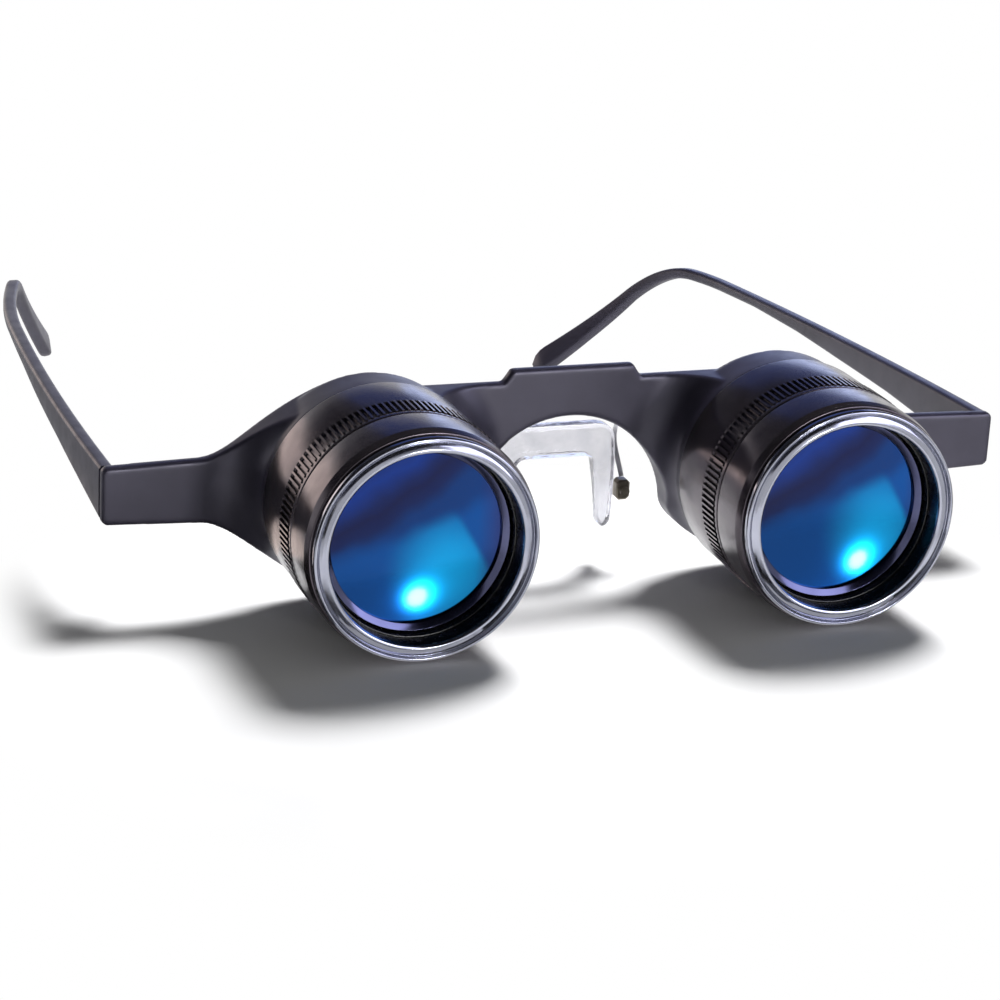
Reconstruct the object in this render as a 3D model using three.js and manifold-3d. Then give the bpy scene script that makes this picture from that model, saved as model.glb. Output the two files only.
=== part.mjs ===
// Binocular glasses: two short low-power telescopes carried by a spectacle frame.
// Millimetres, +Z up. The objectives face -Y and the wearer looks along -Y, so the
// wearer's left is +X. The origin is the middle of the flat top of the bridge block.
import * as THREE from 'three';
import { mergeVertices } from 'three/addons/utils/BufferGeometryUtils.js';
import Module from 'manifold-3d';

const wasm = await Module();
wasm.setup();

// Driving dimensions of the whole
const pupilDistance = 64;
const barrelAxis = pupilDistance / 2;
const fitGap = 0.3;
const cutOverrun = 1;
const weldTolerance = 0.0001;
const fineSides = 32;
const plainSides = 28;
const ringSides = 20;
const smallSides = 16;
const tinySides = 12;

// Radii of the telescope, from the inside out
const lensRadius = 12.9;
const lensBoreRadius = lensRadius + fitGap;
const skirtBoreRadius = 12.2;
const skirtWall = 0.9;
const skirtRadius = skirtBoreRadius + skirtWall;
const tubeBoreRadius = skirtRadius + fitGap;
const tubeWall = 0.9;
const tubeRadius = tubeBoreRadius + tubeWall;
const sleeveBoreRadius = tubeRadius + fitGap;
const lugWall = 1.1;
const lugRadius = sleeveBoreRadius + lugWall;
const bossRadius = lugRadius + 0.5 * lugWall;
const bandProud = 1.2;
const bandRadius = lugRadius + bandProud;
const bossEdgeRadius = bandRadius - fitGap;
const knurlProud = 0.4;
const knurlRadius = bandRadius + knurlProud;

// Stations along a telescope, measured back from the front of its rim
const rimDepth = 0.95;
const rimGroove = 0.55;
const frontBandStart = rimDepth + rimGroove;
const frontBandEnd = 9.4;
const sleeveStart = frontBandEnd + fitGap;
const knurlLead = 0.9;
const knurlStart = sleeveStart + knurlLead;
const knurlLength = 4.5;
const knurlEnd = knurlStart + knurlLength;
const sleeveEnd = 23.8;
const flareStart = sleeveEnd + fitGap;
const flareDepth = 6.4;
const plateFront = flareStart + flareDepth;
const plateThickness = 2;
const plateBack = plateFront + plateThickness;
const collarHeight = 0.8;
const tubeFront = sleeveStart + 0.4 * rimDepth;
const tubeBack = plateBack + collarHeight;

// The focusing movement: the sleeve turns and draws the objective barrel forward
const focusTravel = 3;
const focusTurn = THREE.MathUtils.degToRad(270);
const pinRadius = 0.9;
const pinStation = 20;
const channelDepth = 0.9;
const channelStep = THREE.MathUtils.degToRad(15);
const slotHalfWidth = pinRadius + fitGap;
const channelRadius = sleeveBoreRadius + channelDepth;

// Knurl: straight grooves round the sleeve
const knurlCount = 118;
const knurlDepth = 0.35;

// Sleeve retaining ring on the front of the fixed tube
const stopRingWidth = 1;
const stopRingWall = 0.7;
const stopRingBore = tubeRadius + fitGap;
const stopRingRadius = stopRingBore + stopRingWall;

// Front rim
const rimRadius = 16.35;
const rimLipRadius = 14;
const rimSpigotWall = 0.9;
const rimSpigotRadius = rimLipRadius + rimSpigotWall;
const rimSpigotEnd = 3.1;
const rimChamfer = 0.2;
const rimLineRadius = 15.5;
const rimLineHalfWidth = 0.12;
const rimLineDepth = 0.2;
const rimDish = 0.45;
const rimBackStep = 0.45;

// Objective barrel
const bandEdgeTaper = 0.3;
const bandEdgeLength = 1.5;
const rimSeatStation = rimSpigotEnd + fitGap;
const rimThreadBore = rimSpigotRadius + fitGap;
const ringBoreRadius = 13.8;
const ringSeatStation = 6.1;
const lensSeatStation = 8.2;
const skirtEnd = 24;
const eyeCellFront = skirtEnd + 2 * fitGap;

// Objective lens and its retaining ring
const lensCurve = 48;
const lensEdge = lensSeatStation - ringSeatStation - 1.5 * fitGap;
const lensArcSteps = 2;
const lensRingRadius = ringBoreRadius - fitGap;
const lensRingBore = 12.5;
const lensRingWidth = 1.4;
const lensRingChamfer = 0.5;

// Eyepiece
const eyeLensRadius = 8;
const eyeLensCurve = 15;
const eyeLensCentre = 0.9;
const eyeBoreRadius = eyeLensRadius + fitGap;
const eyeOpening = 7.4;
const eyeSeatStation = 32.2;
const eyeSpigotRadius = tubeBoreRadius - fitGap;
const eyeFlangeRadius = tubeRadius;
const eyeFlangeThickness = 1.3;
const eyeFlangeStart = tubeBack + fitGap;
const eyeFlangeEnd = eyeFlangeStart + eyeFlangeThickness;
const eyeDishRadius = 11.5;
const eyeRingWidth = 1.2;
const eyeRingBore = 7;

// Frame plate outline, as seen from the front with the telescope axes at height zero
const endHalfWidth = 70.6;
const endTop = 4.1;
const endBottom = -4.55;
const endCorner = 0.6;
const armRootX = 56.3;
const armRootTop = 4.5;
const armRootBottom = -5.15;
const shoulderAngle = THREE.MathUtils.degToRad(70);
const shoulderReach = 11;
const armReach = 4.8;
const armRise = 0.2;
const bridgeTop = 13.4;
const blockTop = 15.3;
const blockHalfWidth = 9.5;
const blockSlope = 1.3;
const archRadius = 15.4;
const archTop = 7.7;
const archEndAngle = THREE.MathUtils.degToRad(4);
const flankPullX = 16.3;
const flankPullZ = -9.9;
const flankEndAngle = THREE.MathUtils.degToRad(234);
const plateEdge = 0.4;
const outlineSteps = 5;
const filletSteps = 3;

// Temples: straight side arms with an ear hook, outer top edge as the guide line
const templeTopStart = 3.8;
const templeThickness = 2.2;
const templeHeight = 8;
const templeCorner = 0.55;
const templeSteps = 26;
const templeTipRound = 2.6;
const templeHeightShares = [
  [0, 1], [0.11, 0.79], [0.22, 0.61], [0.35, 0.46], [0.46, 0.32], [0.58, 0.23],
  [0.7, 0.23], [0.78, 0.24], [0.86, 0.3], [0.93, 0.44], [1, 0.62],
];

// The wearer's left temple is bent gently over the ear
const leftSlope = THREE.MathUtils.degToRad(2.3);
const leftStraight = 99;
const leftHookRadius = 16.5;
const leftHookAngle = THREE.MathUtils.degToRad(54.2);
const leftHookLength = 19;
const leftBow = 875;
const leftInwardStart = 89.4;
const leftInwardRadius = 51.5;

// The wearer's right temple is bent later and more tightly, as photographed
const rightSlope = THREE.MathUtils.degToRad(2.2);
const rightStraight = 112;
const rightHookRadius = 8.5;
const rightHookAngle = THREE.MathUtils.degToRad(39.6);
const rightHookLength = 23;
const rightBow = 1040;
const rightInwardStart = 81.2;
const rightInwardRadius = 185;

// Hinges
const hingeInset = 4.6;
const hingeBack = 3.3;
const hingeDrop = 1.5;
const knuckleRadius = 1.9;
const knuckleHalf = 0.9;
const knuckleLength = 1.6;
const bracketWidth = 5.2;
const bracketThickness = 0.9;
const leafThickness = 0.8;
const leafLength = 7;
const leafHalfHeight = 1.4;
const hingeScrewRadius = 0.75;
const hingeHeadRadius = 1.4;
const hingeHeadHeight = 0.6;

// Nose saddle, its wire arms and their clasps
const saddleHalfWidth = 9.4;
const saddleLegWidth = 3.2;
const saddleTop = 4.6;
const saddleArchRise = 5.2;
const saddleBottom = -13;
const saddleSplay = 1.4;
const saddleDepth = 3;
const saddleFront = 35.2;
const saddleRake = 2.4;
const saddleSoftEdge = 0.5;
const saddleSteps = 30;
const armWireRadius = 0.45;
const armAnchorX = 10.6;
const armAnchorZ = 7.6;
const armBow = 1.2;
const armWireSteps = 12;
const armWireSides = 6;
const claspWidth = 2.2;
const claspDepth = 2;
const claspHeight = 3.2;
const claspHeightAt = -6.8;
const claspScrewRadius = 0.75;
const claspScrewHeight = 0.5;

// Solids from geometries, and back

function solidOf(geometry) {
  const bare = new THREE.BufferGeometry();
  bare.setAttribute('position', geometry.getAttribute('position').clone());
  if (geometry.index) bare.setIndex(geometry.index.clone());
  const merged = mergeVertices(bare, weldTolerance);
  const corners = merged.index.array;
  const kept = [];
  for (let i = 0; i < corners.length; i += 3) {
    const [a, b, c] = [corners[i], corners[i + 1], corners[i + 2]];
    if (a !== b && b !== c && c !== a) kept.push(a, b, c);
  }
  return new wasm.Manifold(new wasm.Mesh({
    numProp: 3,
    vertProperties: new Float32Array(merged.getAttribute('position').array),
    triVerts: new Uint32Array(kept),
  }));
}

function geometryOf(solid) {
  const mesh = solid.getMesh();
  const geometry = new THREE.BufferGeometry();
  geometry.setAttribute('position', new THREE.BufferAttribute(mesh.vertProperties, 3));
  geometry.setIndex(new THREE.BufferAttribute(mesh.triVerts, 1));
  geometry.computeVertexNormals();
  return geometry;
}

function ringArea(points) {
  let sum = 0;
  points.forEach((p, i) => {
    const q = points[(i + 1) % points.length];
    sum += p[0] * q[1] - q[0] * p[1];
  });
  return sum / 2;
}

// A solid of revolution about the Y axis, from [radius, station] pairs round its section
function turned(section, sides) {
  const ordered = ringArea(section) > 0 ? section : [...section].reverse();
  const points = [...ordered, ordered[0]].map(([r, y]) => new THREE.Vector2(r, y));
  return solidOf(new THREE.LatheGeometry(points, sides));
}

// A front outline in X and Z, extruded back along Y from one station to another
function extrudedBack(shape, from, to, edge = 0) {
  const geometry = new THREE.ExtrudeGeometry(shape, {
    depth: to - from - 2 * edge,
    bevelEnabled: edge > 0,
    bevelThickness: edge,
    bevelSize: edge,
    bevelOffset: -edge,
    bevelSegments: 1,
  });
  geometry.rotateX(Math.PI / 2);
  geometry.translate(0, to - edge, 0);
  return solidOf(geometry);
}

function roundBar(radius, from, to, sides) {
  return turned([[0, from], [radius, from], [radius, to], [0, to]], sides);
}

function placed(solid, change) {
  const geometry = geometryOf(solid);
  change(geometry);
  return solidOf(geometry);
}

function mirrored(geometry) {
  const copy = geometry.clone();
  copy.scale(-1, 1, 1);
  const corners = copy.index.array;
  for (let i = 0; i < corners.length; i += 3) {
    [corners[i + 1], corners[i + 2]] = [corners[i + 2], corners[i + 1]];
  }
  copy.computeVertexNormals();
  return copy;
}

// Front frame: a flat plate with a flared boss behind each telescope

function halfOutline() {
  const path = new THREE.Path();
  const shoulderX = barrelAxis + lugRadius * Math.cos(shoulderAngle);
  const shoulderZ = lugRadius * Math.sin(shoulderAngle);
  const pullX = shoulderX + shoulderReach * Math.sin(shoulderAngle);
  const pullZ = shoulderZ - shoulderReach * Math.cos(shoulderAngle);
  const bridgeMeet = Math.PI - Math.asin(bridgeTop / lugRadius);
  const corner = endCorner;
  path.moveTo(0, blockTop);
  path.lineTo(blockHalfWidth, blockTop);
  path.lineTo(blockHalfWidth + blockSlope, bridgeTop);
  path.absarc(barrelAxis, 0, lugRadius, bridgeMeet, shoulderAngle, true);
  path.bezierCurveTo(pullX, pullZ, armRootX - armReach, armRootTop + armRise,
    armRootX, armRootTop);
  path.lineTo(endHalfWidth - corner, endTop);
  path.lineTo(endHalfWidth, endTop - corner);
  path.lineTo(endHalfWidth, endBottom + corner);
  path.lineTo(endHalfWidth - corner, endBottom);
  path.lineTo(armRootX, armRootBottom);
  path.bezierCurveTo(armRootX - armReach, armRootBottom - armRise, pullX, -pullZ,
    shoulderX, -shoulderZ);
  path.absarc(barrelAxis, 0, lugRadius, -shoulderAngle, flankEndAngle - 2 * Math.PI, true);
  path.quadraticCurveTo(flankPullX, flankPullZ,
    archRadius * Math.cos(archEndAngle), archTop - archRadius + archRadius * Math.sin(archEndAngle));
  path.absarc(0, archTop - archRadius, archRadius, archEndAngle, Math.PI / 2, false);
  return path.getPoints(outlineSteps);
}

function frameOutline() {
  const right = halfOutline();
  const left = right.slice(1, -1).reverse().map((p) => new THREE.Vector2(-p.x, p.y));
  return new THREE.Shape([...right, ...left]);
}

function frontFrame() {
  const outline = frameOutline();
  const plate = extrudedBack(outline, plateFront, plateBack, plateEdge);
  const core = extrudedBack(outline, flareStart, plateBack);
  const fillet = [];
  for (let i = 0; i <= filletSteps; i += 1) {
    const turn = (i / filletSteps) * (Math.PI / 2);
    fillet.push([bossRadius + flareDepth * (1 - Math.cos(turn)), flareStart + flareDepth * Math.sin(turn)]);
  }
  const inside = sleeveBoreRadius - cutOverrun;
  const flare = [
    ...fillet,
    [bossRadius + flareDepth, plateFront + plateEdge],
    [inside, plateFront + plateEdge],
    [inside, flareStart],
  ];
  const boss = [
    [bossEdgeRadius, flareStart], [bossRadius, plateFront + plateEdge],
    [inside, plateFront + plateEdge], [inside, flareStart],
  ];
  let frame = plate;
  for (const side of [-1, 1]) {
    const move = (geometry) => geometry.translate(side * barrelAxis, 0, 0);
    frame = frame.add(placed(turned(flare, fineSides), move).intersect(core));
    frame = frame.add(placed(turned(boss, fineSides), move));
    const bore = roundBar(sleeveBoreRadius, flareStart - cutOverrun, plateBack + cutOverrun, fineSides);
    frame = frame.subtract(placed(bore, move));
  }
  return geometryOf(frame);
}

// Telescope pieces, each about its own axis

function barrelTube() {
  const tube = turned([
    [tubeBoreRadius, tubeFront], [tubeRadius, tubeFront],
    [tubeRadius, tubeBack], [tubeBoreRadius, tubeBack],
  ], plainSides);
  const slotLength = focusTravel + 2 * slotHalfWidth;
  const slot = new THREE.BoxGeometry(2 * slotHalfWidth, slotLength, tubeWall + 2 * cutOverrun);
  slot.translate(0, pinStation + slotHalfWidth - slotLength / 2, tubeRadius - tubeWall / 2);
  return geometryOf(tube.subtract(solidOf(slot)));
}

// The helical channel inside the sleeve, as a strip of square section
function focusChannel() {
  const lead = slotHalfWidth / sleeveBoreRadius;
  const from = -lead;
  const to = focusTurn + lead;
  const steps = Math.ceil((to - from) / channelStep);
  const positions = [];
  const faces = [];
  for (let i = 0; i <= steps; i += 1) {
    const turn = from + ((to - from) * i) / steps;
    const station = pinStation - focusTravel * (turn / focusTurn);
    for (const [r, y] of [
      [sleeveBoreRadius - cutOverrun, station - slotHalfWidth],
      [channelRadius, station - slotHalfWidth],
      [channelRadius, station + slotHalfWidth],
      [sleeveBoreRadius - cutOverrun, station + slotHalfWidth],
    ]) positions.push(-r * Math.sin(turn), y, r * Math.cos(turn));
    if (i === 0) continue;
    const [a, b] = [4 * (i - 1), 4 * i];
    for (let k = 0; k < 4; k += 1) {
      const n = (k + 1) % 4;
      faces.push(a + k, b + n, b + k, a + k, a + n, b + n);
    }
  }
  const last = 4 * steps;
  faces.push(0, 2, 1, 0, 3, 2, last, last + 1, last + 2, last, last + 2, last + 3);
  const geometry = new THREE.BufferGeometry();
  geometry.setAttribute('position', new THREE.Float32BufferAttribute(positions, 3));
  geometry.setIndex(faces);
  return solidOf(geometry);
}

function knurlBand() {
  const pitch = (2 * Math.PI) / knurlCount;
  const points = [];
  for (let i = 0; i < 2 * knurlCount; i += 1) {
    const angle = (i / 2) * pitch;
    const r = i % 2 === 0 ? knurlRadius : knurlRadius - knurlDepth;
    points.push(new THREE.Vector2(r * Math.cos(angle), r * Math.sin(angle)));
  }
  return extrudedBack(new THREE.Shape(points), knurlStart, knurlEnd);
}

function focusSleeve() {
  const counterbore = stopRingRadius + fitGap;
  const counterEnd = tubeFront + stopRingWidth + fitGap;
  const band = roundBar(bandRadius, sleeveStart, sleeveEnd, fineSides);
  const hollow = turned([
    [0, sleeveStart - cutOverrun], [counterbore, sleeveStart - cutOverrun],
    [counterbore, counterEnd], [sleeveBoreRadius, counterEnd],
    [sleeveBoreRadius, sleeveEnd + cutOverrun], [0, sleeveEnd + cutOverrun],
  ], plainSides);
  return geometryOf(knurlBand().add(band).subtract(hollow).subtract(focusChannel()));
}

function sleeveStopRing() {
  return geometryOf(turned([
    [stopRingBore, tubeFront], [stopRingRadius, tubeFront],
    [stopRingRadius, tubeFront + stopRingWidth], [stopRingBore, tubeFront + stopRingWidth],
  ], ringSides));
}

function objectiveBarrel() {
  const barrel = turned([
    [rimThreadBore, frontBandStart],
    [bandRadius - bandEdgeTaper, frontBandStart],
    [bandRadius, frontBandStart + bandEdgeLength],
    [bandRadius, frontBandEnd],
    [skirtRadius, frontBandEnd],
    [skirtRadius, skirtEnd],
    [skirtBoreRadius, skirtEnd],
    [skirtBoreRadius, lensSeatStation],
    [lensBoreRadius, lensSeatStation],
    [lensBoreRadius, ringSeatStation],
    [ringBoreRadius, ringSeatStation],
    [ringBoreRadius, rimSeatStation],
    [rimThreadBore, rimSeatStation],
  ], plainSides);
  const hole = roundBar(slotHalfWidth, skirtBoreRadius - cutOverrun, skirtRadius + cutOverrun, tinySides);
  const across = placed(hole, (geometry) => {
    geometry.rotateX(Math.PI / 2);
    geometry.translate(0, pinStation, 0);
  });
  return geometryOf(barrel.subtract(across));
}

function frontRim() {
  const spigotStep = rimDepth + rimBackStep / 2;
  return geometryOf(turned([
    [rimLipRadius, rimDish],
    [rimLineRadius - rimLineHalfWidth, 0],
    [rimLineRadius, rimLineDepth],
    [rimLineRadius + rimLineHalfWidth, 0],
    [rimRadius - rimChamfer, 0],
    [rimRadius, rimChamfer],
    [rimRadius, rimDepth],
    [rimRadius - rimBackStep, spigotStep],
    [rimSpigotRadius, spigotStep],
    [rimSpigotRadius, rimSpigotEnd],
    [rimLipRadius, rimSpigotEnd],
  ], plainSides));
}

// Points on a lens face, from the axis out to the edge, bulging or hollowed by its curve
function lensFace(radius, curve, edgeStation, outward) {
  const points = [];
  const rim = Math.sqrt(curve * curve - radius * radius);
  for (let i = 0; i <= lensArcSteps; i += 1) {
    const r = (radius * i) / lensArcSteps;
    points.push([r, edgeStation + outward * (Math.sqrt(curve * curve - r * r) - rim)]);
  }
  return points;
}

function lens(radius, curve, front, back, bulge, sides) {
  return geometryOf(turned([
    ...lensFace(radius, curve, front, -bulge),
    ...lensFace(radius, curve, back, bulge).reverse(),
  ], sides));
}

function objectiveLens() {
  const front = lensSeatStation - fitGap - lensEdge;
  return lens(lensRadius, lensCurve, front, front + lensEdge, 1, plainSides);
}

function lensRing() {
  const back = ringSeatStation - fitGap / 2;
  const front = back - lensRingWidth;
  return geometryOf(turned([
    [lensRingBore, back], [lensRingRadius, back], [lensRingRadius, front],
    [lensRingBore + lensRingChamfer, front], [lensRingBore, front + lensRingChamfer],
  ], plainSides));
}

function focusPin() {
  const pin = roundBar(pinRadius, skirtBoreRadius, channelRadius - fitGap, tinySides);
  return geometryOf(placed(pin, (geometry) => {
    geometry.rotateX(Math.PI / 2);
    geometry.translate(0, pinStation, 0);
  }));
}

function eyepieceCell() {
  return geometryOf(turned([
    [eyeBoreRadius, eyeCellFront], [eyeSpigotRadius, eyeCellFront],
    [eyeSpigotRadius, eyeFlangeStart], [eyeFlangeRadius, eyeFlangeStart],
    [eyeFlangeRadius, eyeFlangeEnd - rimChamfer], [eyeFlangeRadius - rimChamfer, eyeFlangeEnd],
    [eyeDishRadius, eyeFlangeEnd], [eyeOpening, eyeSeatStation + fitGap],
    [eyeOpening, eyeSeatStation], [eyeBoreRadius, eyeSeatStation],
  ], plainSides));
}

function eyepieceLens() {
  const sag = eyeLensCurve - Math.sqrt(eyeLensCurve ** 2 - eyeLensRadius ** 2);
  const back = eyeSeatStation - fitGap;
  return lens(eyeLensRadius, eyeLensCurve, back - eyeLensCentre - 2 * sag, back, -1, ringSides);
}

function eyepieceRing() {
  const sag = eyeLensCurve - Math.sqrt(eyeLensCurve ** 2 - eyeLensRadius ** 2);
  const back = eyeSeatStation - 2 * fitGap - eyeLensCentre - 2 * sag;
  return geometryOf(turned([
    [eyeRingBore, back], [eyeLensRadius, back],
    [eyeLensRadius, back - eyeRingWidth], [eyeRingBore, back - eyeRingWidth],
  ], ringSides));
}

// Temple: a section carried along the guide line of its outer top edge

function templeHeightAt(share) {
  const last = templeHeightShares.length - 1;
  const next = Math.min(last, templeHeightShares.findIndex(([at]) => at >= share - weldTolerance));
  if (next <= 0) return templeHeight * templeHeightShares[0][1];
  const [fromAt, fromShare] = templeHeightShares[next - 1];
  const [toAt, toShare] = templeHeightShares[next];
  const blend = (share - fromAt) / (toAt - fromAt);
  return templeHeight * (fromShare + (toShare - fromShare) * blend);
}

const templeBends = {
  left: {
    slope: leftSlope, straight: leftStraight, radius: leftHookRadius, angle: leftHookAngle,
    hook: leftHookLength, bow: leftBow, inwardStart: leftInwardStart, inwardRadius: leftInwardRadius,
  },
  right: {
    slope: rightSlope, straight: rightStraight, radius: rightHookRadius, angle: rightHookAngle,
    hook: rightHookLength, bow: rightBow, inwardStart: rightInwardStart, inwardRadius: rightInwardRadius,
  },
};

// Place, lean and inward turn of a section at a distance along the guide line.
// The first section stays upright, so that its end face lies against the frame.
function templeGuide(bend, distance) {
  const arc = bend.radius * bend.angle;
  const along = Math.min(distance, bend.straight);
  const bent = THREE.MathUtils.clamp((distance - bend.straight) / arc, 0, 1) * bend.angle;
  const rest = Math.max(0, distance - bend.straight - arc);
  const slope = bend.slope + bent;
  const y = along * Math.cos(bend.slope)
    + bend.radius * (Math.sin(slope) - Math.sin(bend.slope)) + rest * Math.cos(slope);
  const z = -along * Math.sin(bend.slope)
    - bend.radius * (Math.cos(bend.slope) - Math.cos(slope)) - rest * Math.sin(slope);
  const past = Math.max(0, distance - bend.inwardStart);
  const inward = distance ** 2 / (2 * bend.bow) + past ** 2 / (2 * bend.inwardRadius);
  const turn = Math.atan(distance / bend.bow + past / bend.inwardRadius);
  const templeFront = plateBack + fitGap;
  const lean = distance > 0 ? slope : 0;
  return { x: endHalfWidth - inward, y: templeFront + y, z: templeTopStart + z, lean, turn };
}

function temple(bend) {
  const total = bend.straight + bend.radius * bend.angle + bend.hook;
  const positions = [];
  const faces = [];
  const around = 8;
  for (let i = 0; i <= templeSteps; i += 1) {
    const distance = (total * i) / templeSteps;
    const guide = templeGuide(bend, distance);
    const height = templeHeightAt(distance / total);
    const left = total - distance;
    const close = left < templeTipRound ? Math.sqrt(1 - (1 - left / templeTipRound) ** 2) : 1;
    const shrink = Math.max(close, templeCorner);
    const halfT = templeThickness / 2;
    const halfH = (height / 2) * shrink;
    const round = Math.min(templeCorner, halfH, halfT) * (1 - weldTolerance);
    for (let k = 0; k < around; k += 1) {
      const quarter = Math.floor(k / 2);
      const angle = (quarter + (k % 2)) * (Math.PI / 2);
      const signX = quarter === 0 || quarter === 3 ? 1 : -1;
      const signZ = quarter < 2 ? 1 : -1;
      const across = signX * (halfT - round) + round * Math.cos(angle) - halfT;
      const up = signZ * (halfH - round) + round * Math.sin(angle) - height / 2;
      positions.push(
        guide.x + across * Math.cos(guide.turn),
        guide.y + across * Math.sin(guide.turn) * Math.cos(guide.lean) + up * Math.sin(guide.lean),
        guide.z - across * Math.sin(guide.turn) * Math.sin(guide.lean) + up * Math.cos(guide.lean),
      );
      if (i === 0) continue;
      const [a, b, n] = [around * (i - 1), around * i, (k + 1) % around];
      faces.push(a + k, b + k, b + n, a + k, b + n, a + n);
    }
  }
  const last = around * templeSteps;
  for (let k = 1; k < around - 1; k += 1) {
    faces.push(0, k, k + 1, last, last + k + 1, last + k);
  }
  const geometry = new THREE.BufferGeometry();
  geometry.setAttribute('position', new THREE.Float32BufferAttribute(positions, 3));
  geometry.setIndex(faces);
  return geometryOf(solidOf(geometry));
}

// Hinge pieces of the +X side
const hingeX = endHalfWidth - hingeInset;
const hingeY = plateBack + hingeBack;

function upright(radius, bottom, top, sides) {
  return placed(roundBar(radius, bottom, top, sides), (geometry) => {
    geometry.rotateX(Math.PI / 2);
    geometry.translate(hingeX, hingeY, -hingeDrop);
  });
}

function block(width, depth, height, x, y, z) {
  const geometry = new THREE.BoxGeometry(width, depth, height);
  geometry.translate(x, y, z);
  return solidOf(geometry);
}

function hingeBracket() {
  const front = plateBack + fitGap;
  const inner = knuckleHalf + fitGap;
  const outer = inner + knuckleLength;
  const plate = block(bracketWidth, bracketThickness, 2 * outer,
    hingeX - bracketWidth / 2 + knuckleRadius, front + bracketThickness / 2, -hingeDrop);
  const reach = hingeY - front;
  let bracket = plate;
  for (const side of [-1, 1]) {
    const web = block(2 * knuckleRadius, reach, knuckleLength,
      hingeX, front + reach / 2, side * (inner + knuckleLength / 2) - hingeDrop);
    const [low, high] = side > 0 ? [inner, outer] : [-outer, -inner];
    bracket = bracket.add(web).add(upright(knuckleRadius, low, high, smallSides));
  }
  const hole = hingeScrewRadius + fitGap;
  return geometryOf(bracket.subtract(upright(hole, -outer - cutOverrun, outer + cutOverrun, tinySides)));
}

function hingeLeaf() {
  const face = endHalfWidth - templeThickness - fitGap;
  const from = hingeY;
  const strip = block(leafThickness, leafLength, 2 * leafHalfHeight,
    face - leafThickness / 2, from + knuckleRadius + leafLength / 2, -hingeDrop);
  const neck = block(face - hingeX, knuckleRadius + leafThickness, 2 * knuckleHalf,
    hingeX + (face - hingeX) / 2, from + (knuckleRadius + leafThickness) / 2, -hingeDrop);
  const body = strip.add(neck).add(upright(knuckleRadius, -knuckleHalf, knuckleHalf, smallSides));
  const hole = hingeScrewRadius + fitGap;
  return geometryOf(body.subtract(
    upright(hole, -knuckleHalf - cutOverrun, knuckleHalf + cutOverrun, tinySides)));
}

function hingeScrew() {
  const outer = knuckleHalf + fitGap + knuckleLength;
  const shank = upright(hingeScrewRadius, -outer, outer + fitGap + hingeHeadHeight / 2, tinySides);
  const head = upright(hingeHeadRadius, outer + fitGap, outer + fitGap + hingeHeadHeight, smallSides);
  return geometryOf(shank.add(head));
}

// Nose saddle: a soft arch whose two legs splay out and rake back
function noseSaddle() {
  const outline = new THREE.Path();
  const legFoot = saddleLegWidth / 2;
  const footX = saddleHalfWidth + saddleSplay - legFoot;
  const inner = saddleHalfWidth - saddleLegWidth;
  const corner = saddleLegWidth;
  outline.moveTo(0, saddleTop);
  outline.lineTo(saddleHalfWidth - corner, saddleTop);
  outline.quadraticCurveTo(saddleHalfWidth, saddleTop, saddleHalfWidth, saddleTop - corner);
  outline.lineTo(footX + legFoot, saddleBottom + legFoot);
  outline.absarc(footX, saddleBottom + legFoot, legFoot, 0, -Math.PI, true);
  outline.lineTo(inner, saddleTop - saddleArchRise - legFoot);
  outline.quadraticCurveTo(inner, saddleTop - saddleArchRise, inner - legFoot, saddleTop - saddleArchRise);
  outline.lineTo(0, saddleTop - saddleArchRise);
  const right = outline.getSpacedPoints(saddleSteps);
  const left = right.slice(1, -1).reverse().map((p) => new THREE.Vector2(-p.x, p.y));
  const shape = new THREE.Shape([...right, ...left]);
  const solid = extrudedBack(shape, saddleFront, saddleFront + saddleDepth, saddleSoftEdge);
  const legLength = saddleTop - saddleBottom;
  return geometryOf(placed(solid, (geometry) => {
    const spots = geometry.getAttribute('position');
    for (let i = 0; i < spots.count; i += 1) {
      const share = (saddleTop - spots.getZ(i)) / legLength;
      spots.setY(i, spots.getY(i) + saddleRake * share * share);
    }
  }));
}

// Where the clasp of the +X side holds the saddle's leg
function claspSpot() {
  const share = (saddleTop - claspHeightAt) / (saddleTop - saddleBottom);
  const edge = saddleHalfWidth + saddleSplay * share;
  return new THREE.Vector3(
    edge + fitGap + claspWidth / 2,
    saddleFront + saddleDepth / 2 + saddleRake * share * share,
    claspHeightAt,
  );
}

function noseClasp() {
  const spot = claspSpot();
  const shape = new THREE.Shape();
  const corner = claspDepth / 4;
  shape.moveTo(corner - claspWidth / 2, -claspHeight / 2);
  shape.lineTo(claspWidth / 2 - corner, -claspHeight / 2);
  shape.lineTo(claspWidth / 2, corner - claspHeight / 2);
  shape.lineTo(claspWidth / 2, claspHeight / 2 - corner);
  shape.lineTo(claspWidth / 2 - corner, claspHeight / 2);
  shape.lineTo(corner - claspWidth / 2, claspHeight / 2);
  shape.lineTo(-claspWidth / 2, claspHeight / 2 - corner);
  shape.lineTo(-claspWidth / 2, corner - claspHeight / 2);
  const solid = extrudedBack(shape, -claspDepth / 2, claspDepth / 2, corner / 2);
  return geometryOf(placed(solid, (geometry) => geometry.translate(spot.x, spot.y, spot.z)));
}

function noseScrew() {
  const spot = claspSpot();
  const back = -claspDepth / 2 - fitGap;
  const screw = roundBar(claspScrewRadius, back - claspScrewHeight, back, tinySides);
  return geometryOf(placed(screw, (geometry) => geometry.translate(spot.x, spot.y, spot.z)));
}

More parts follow.
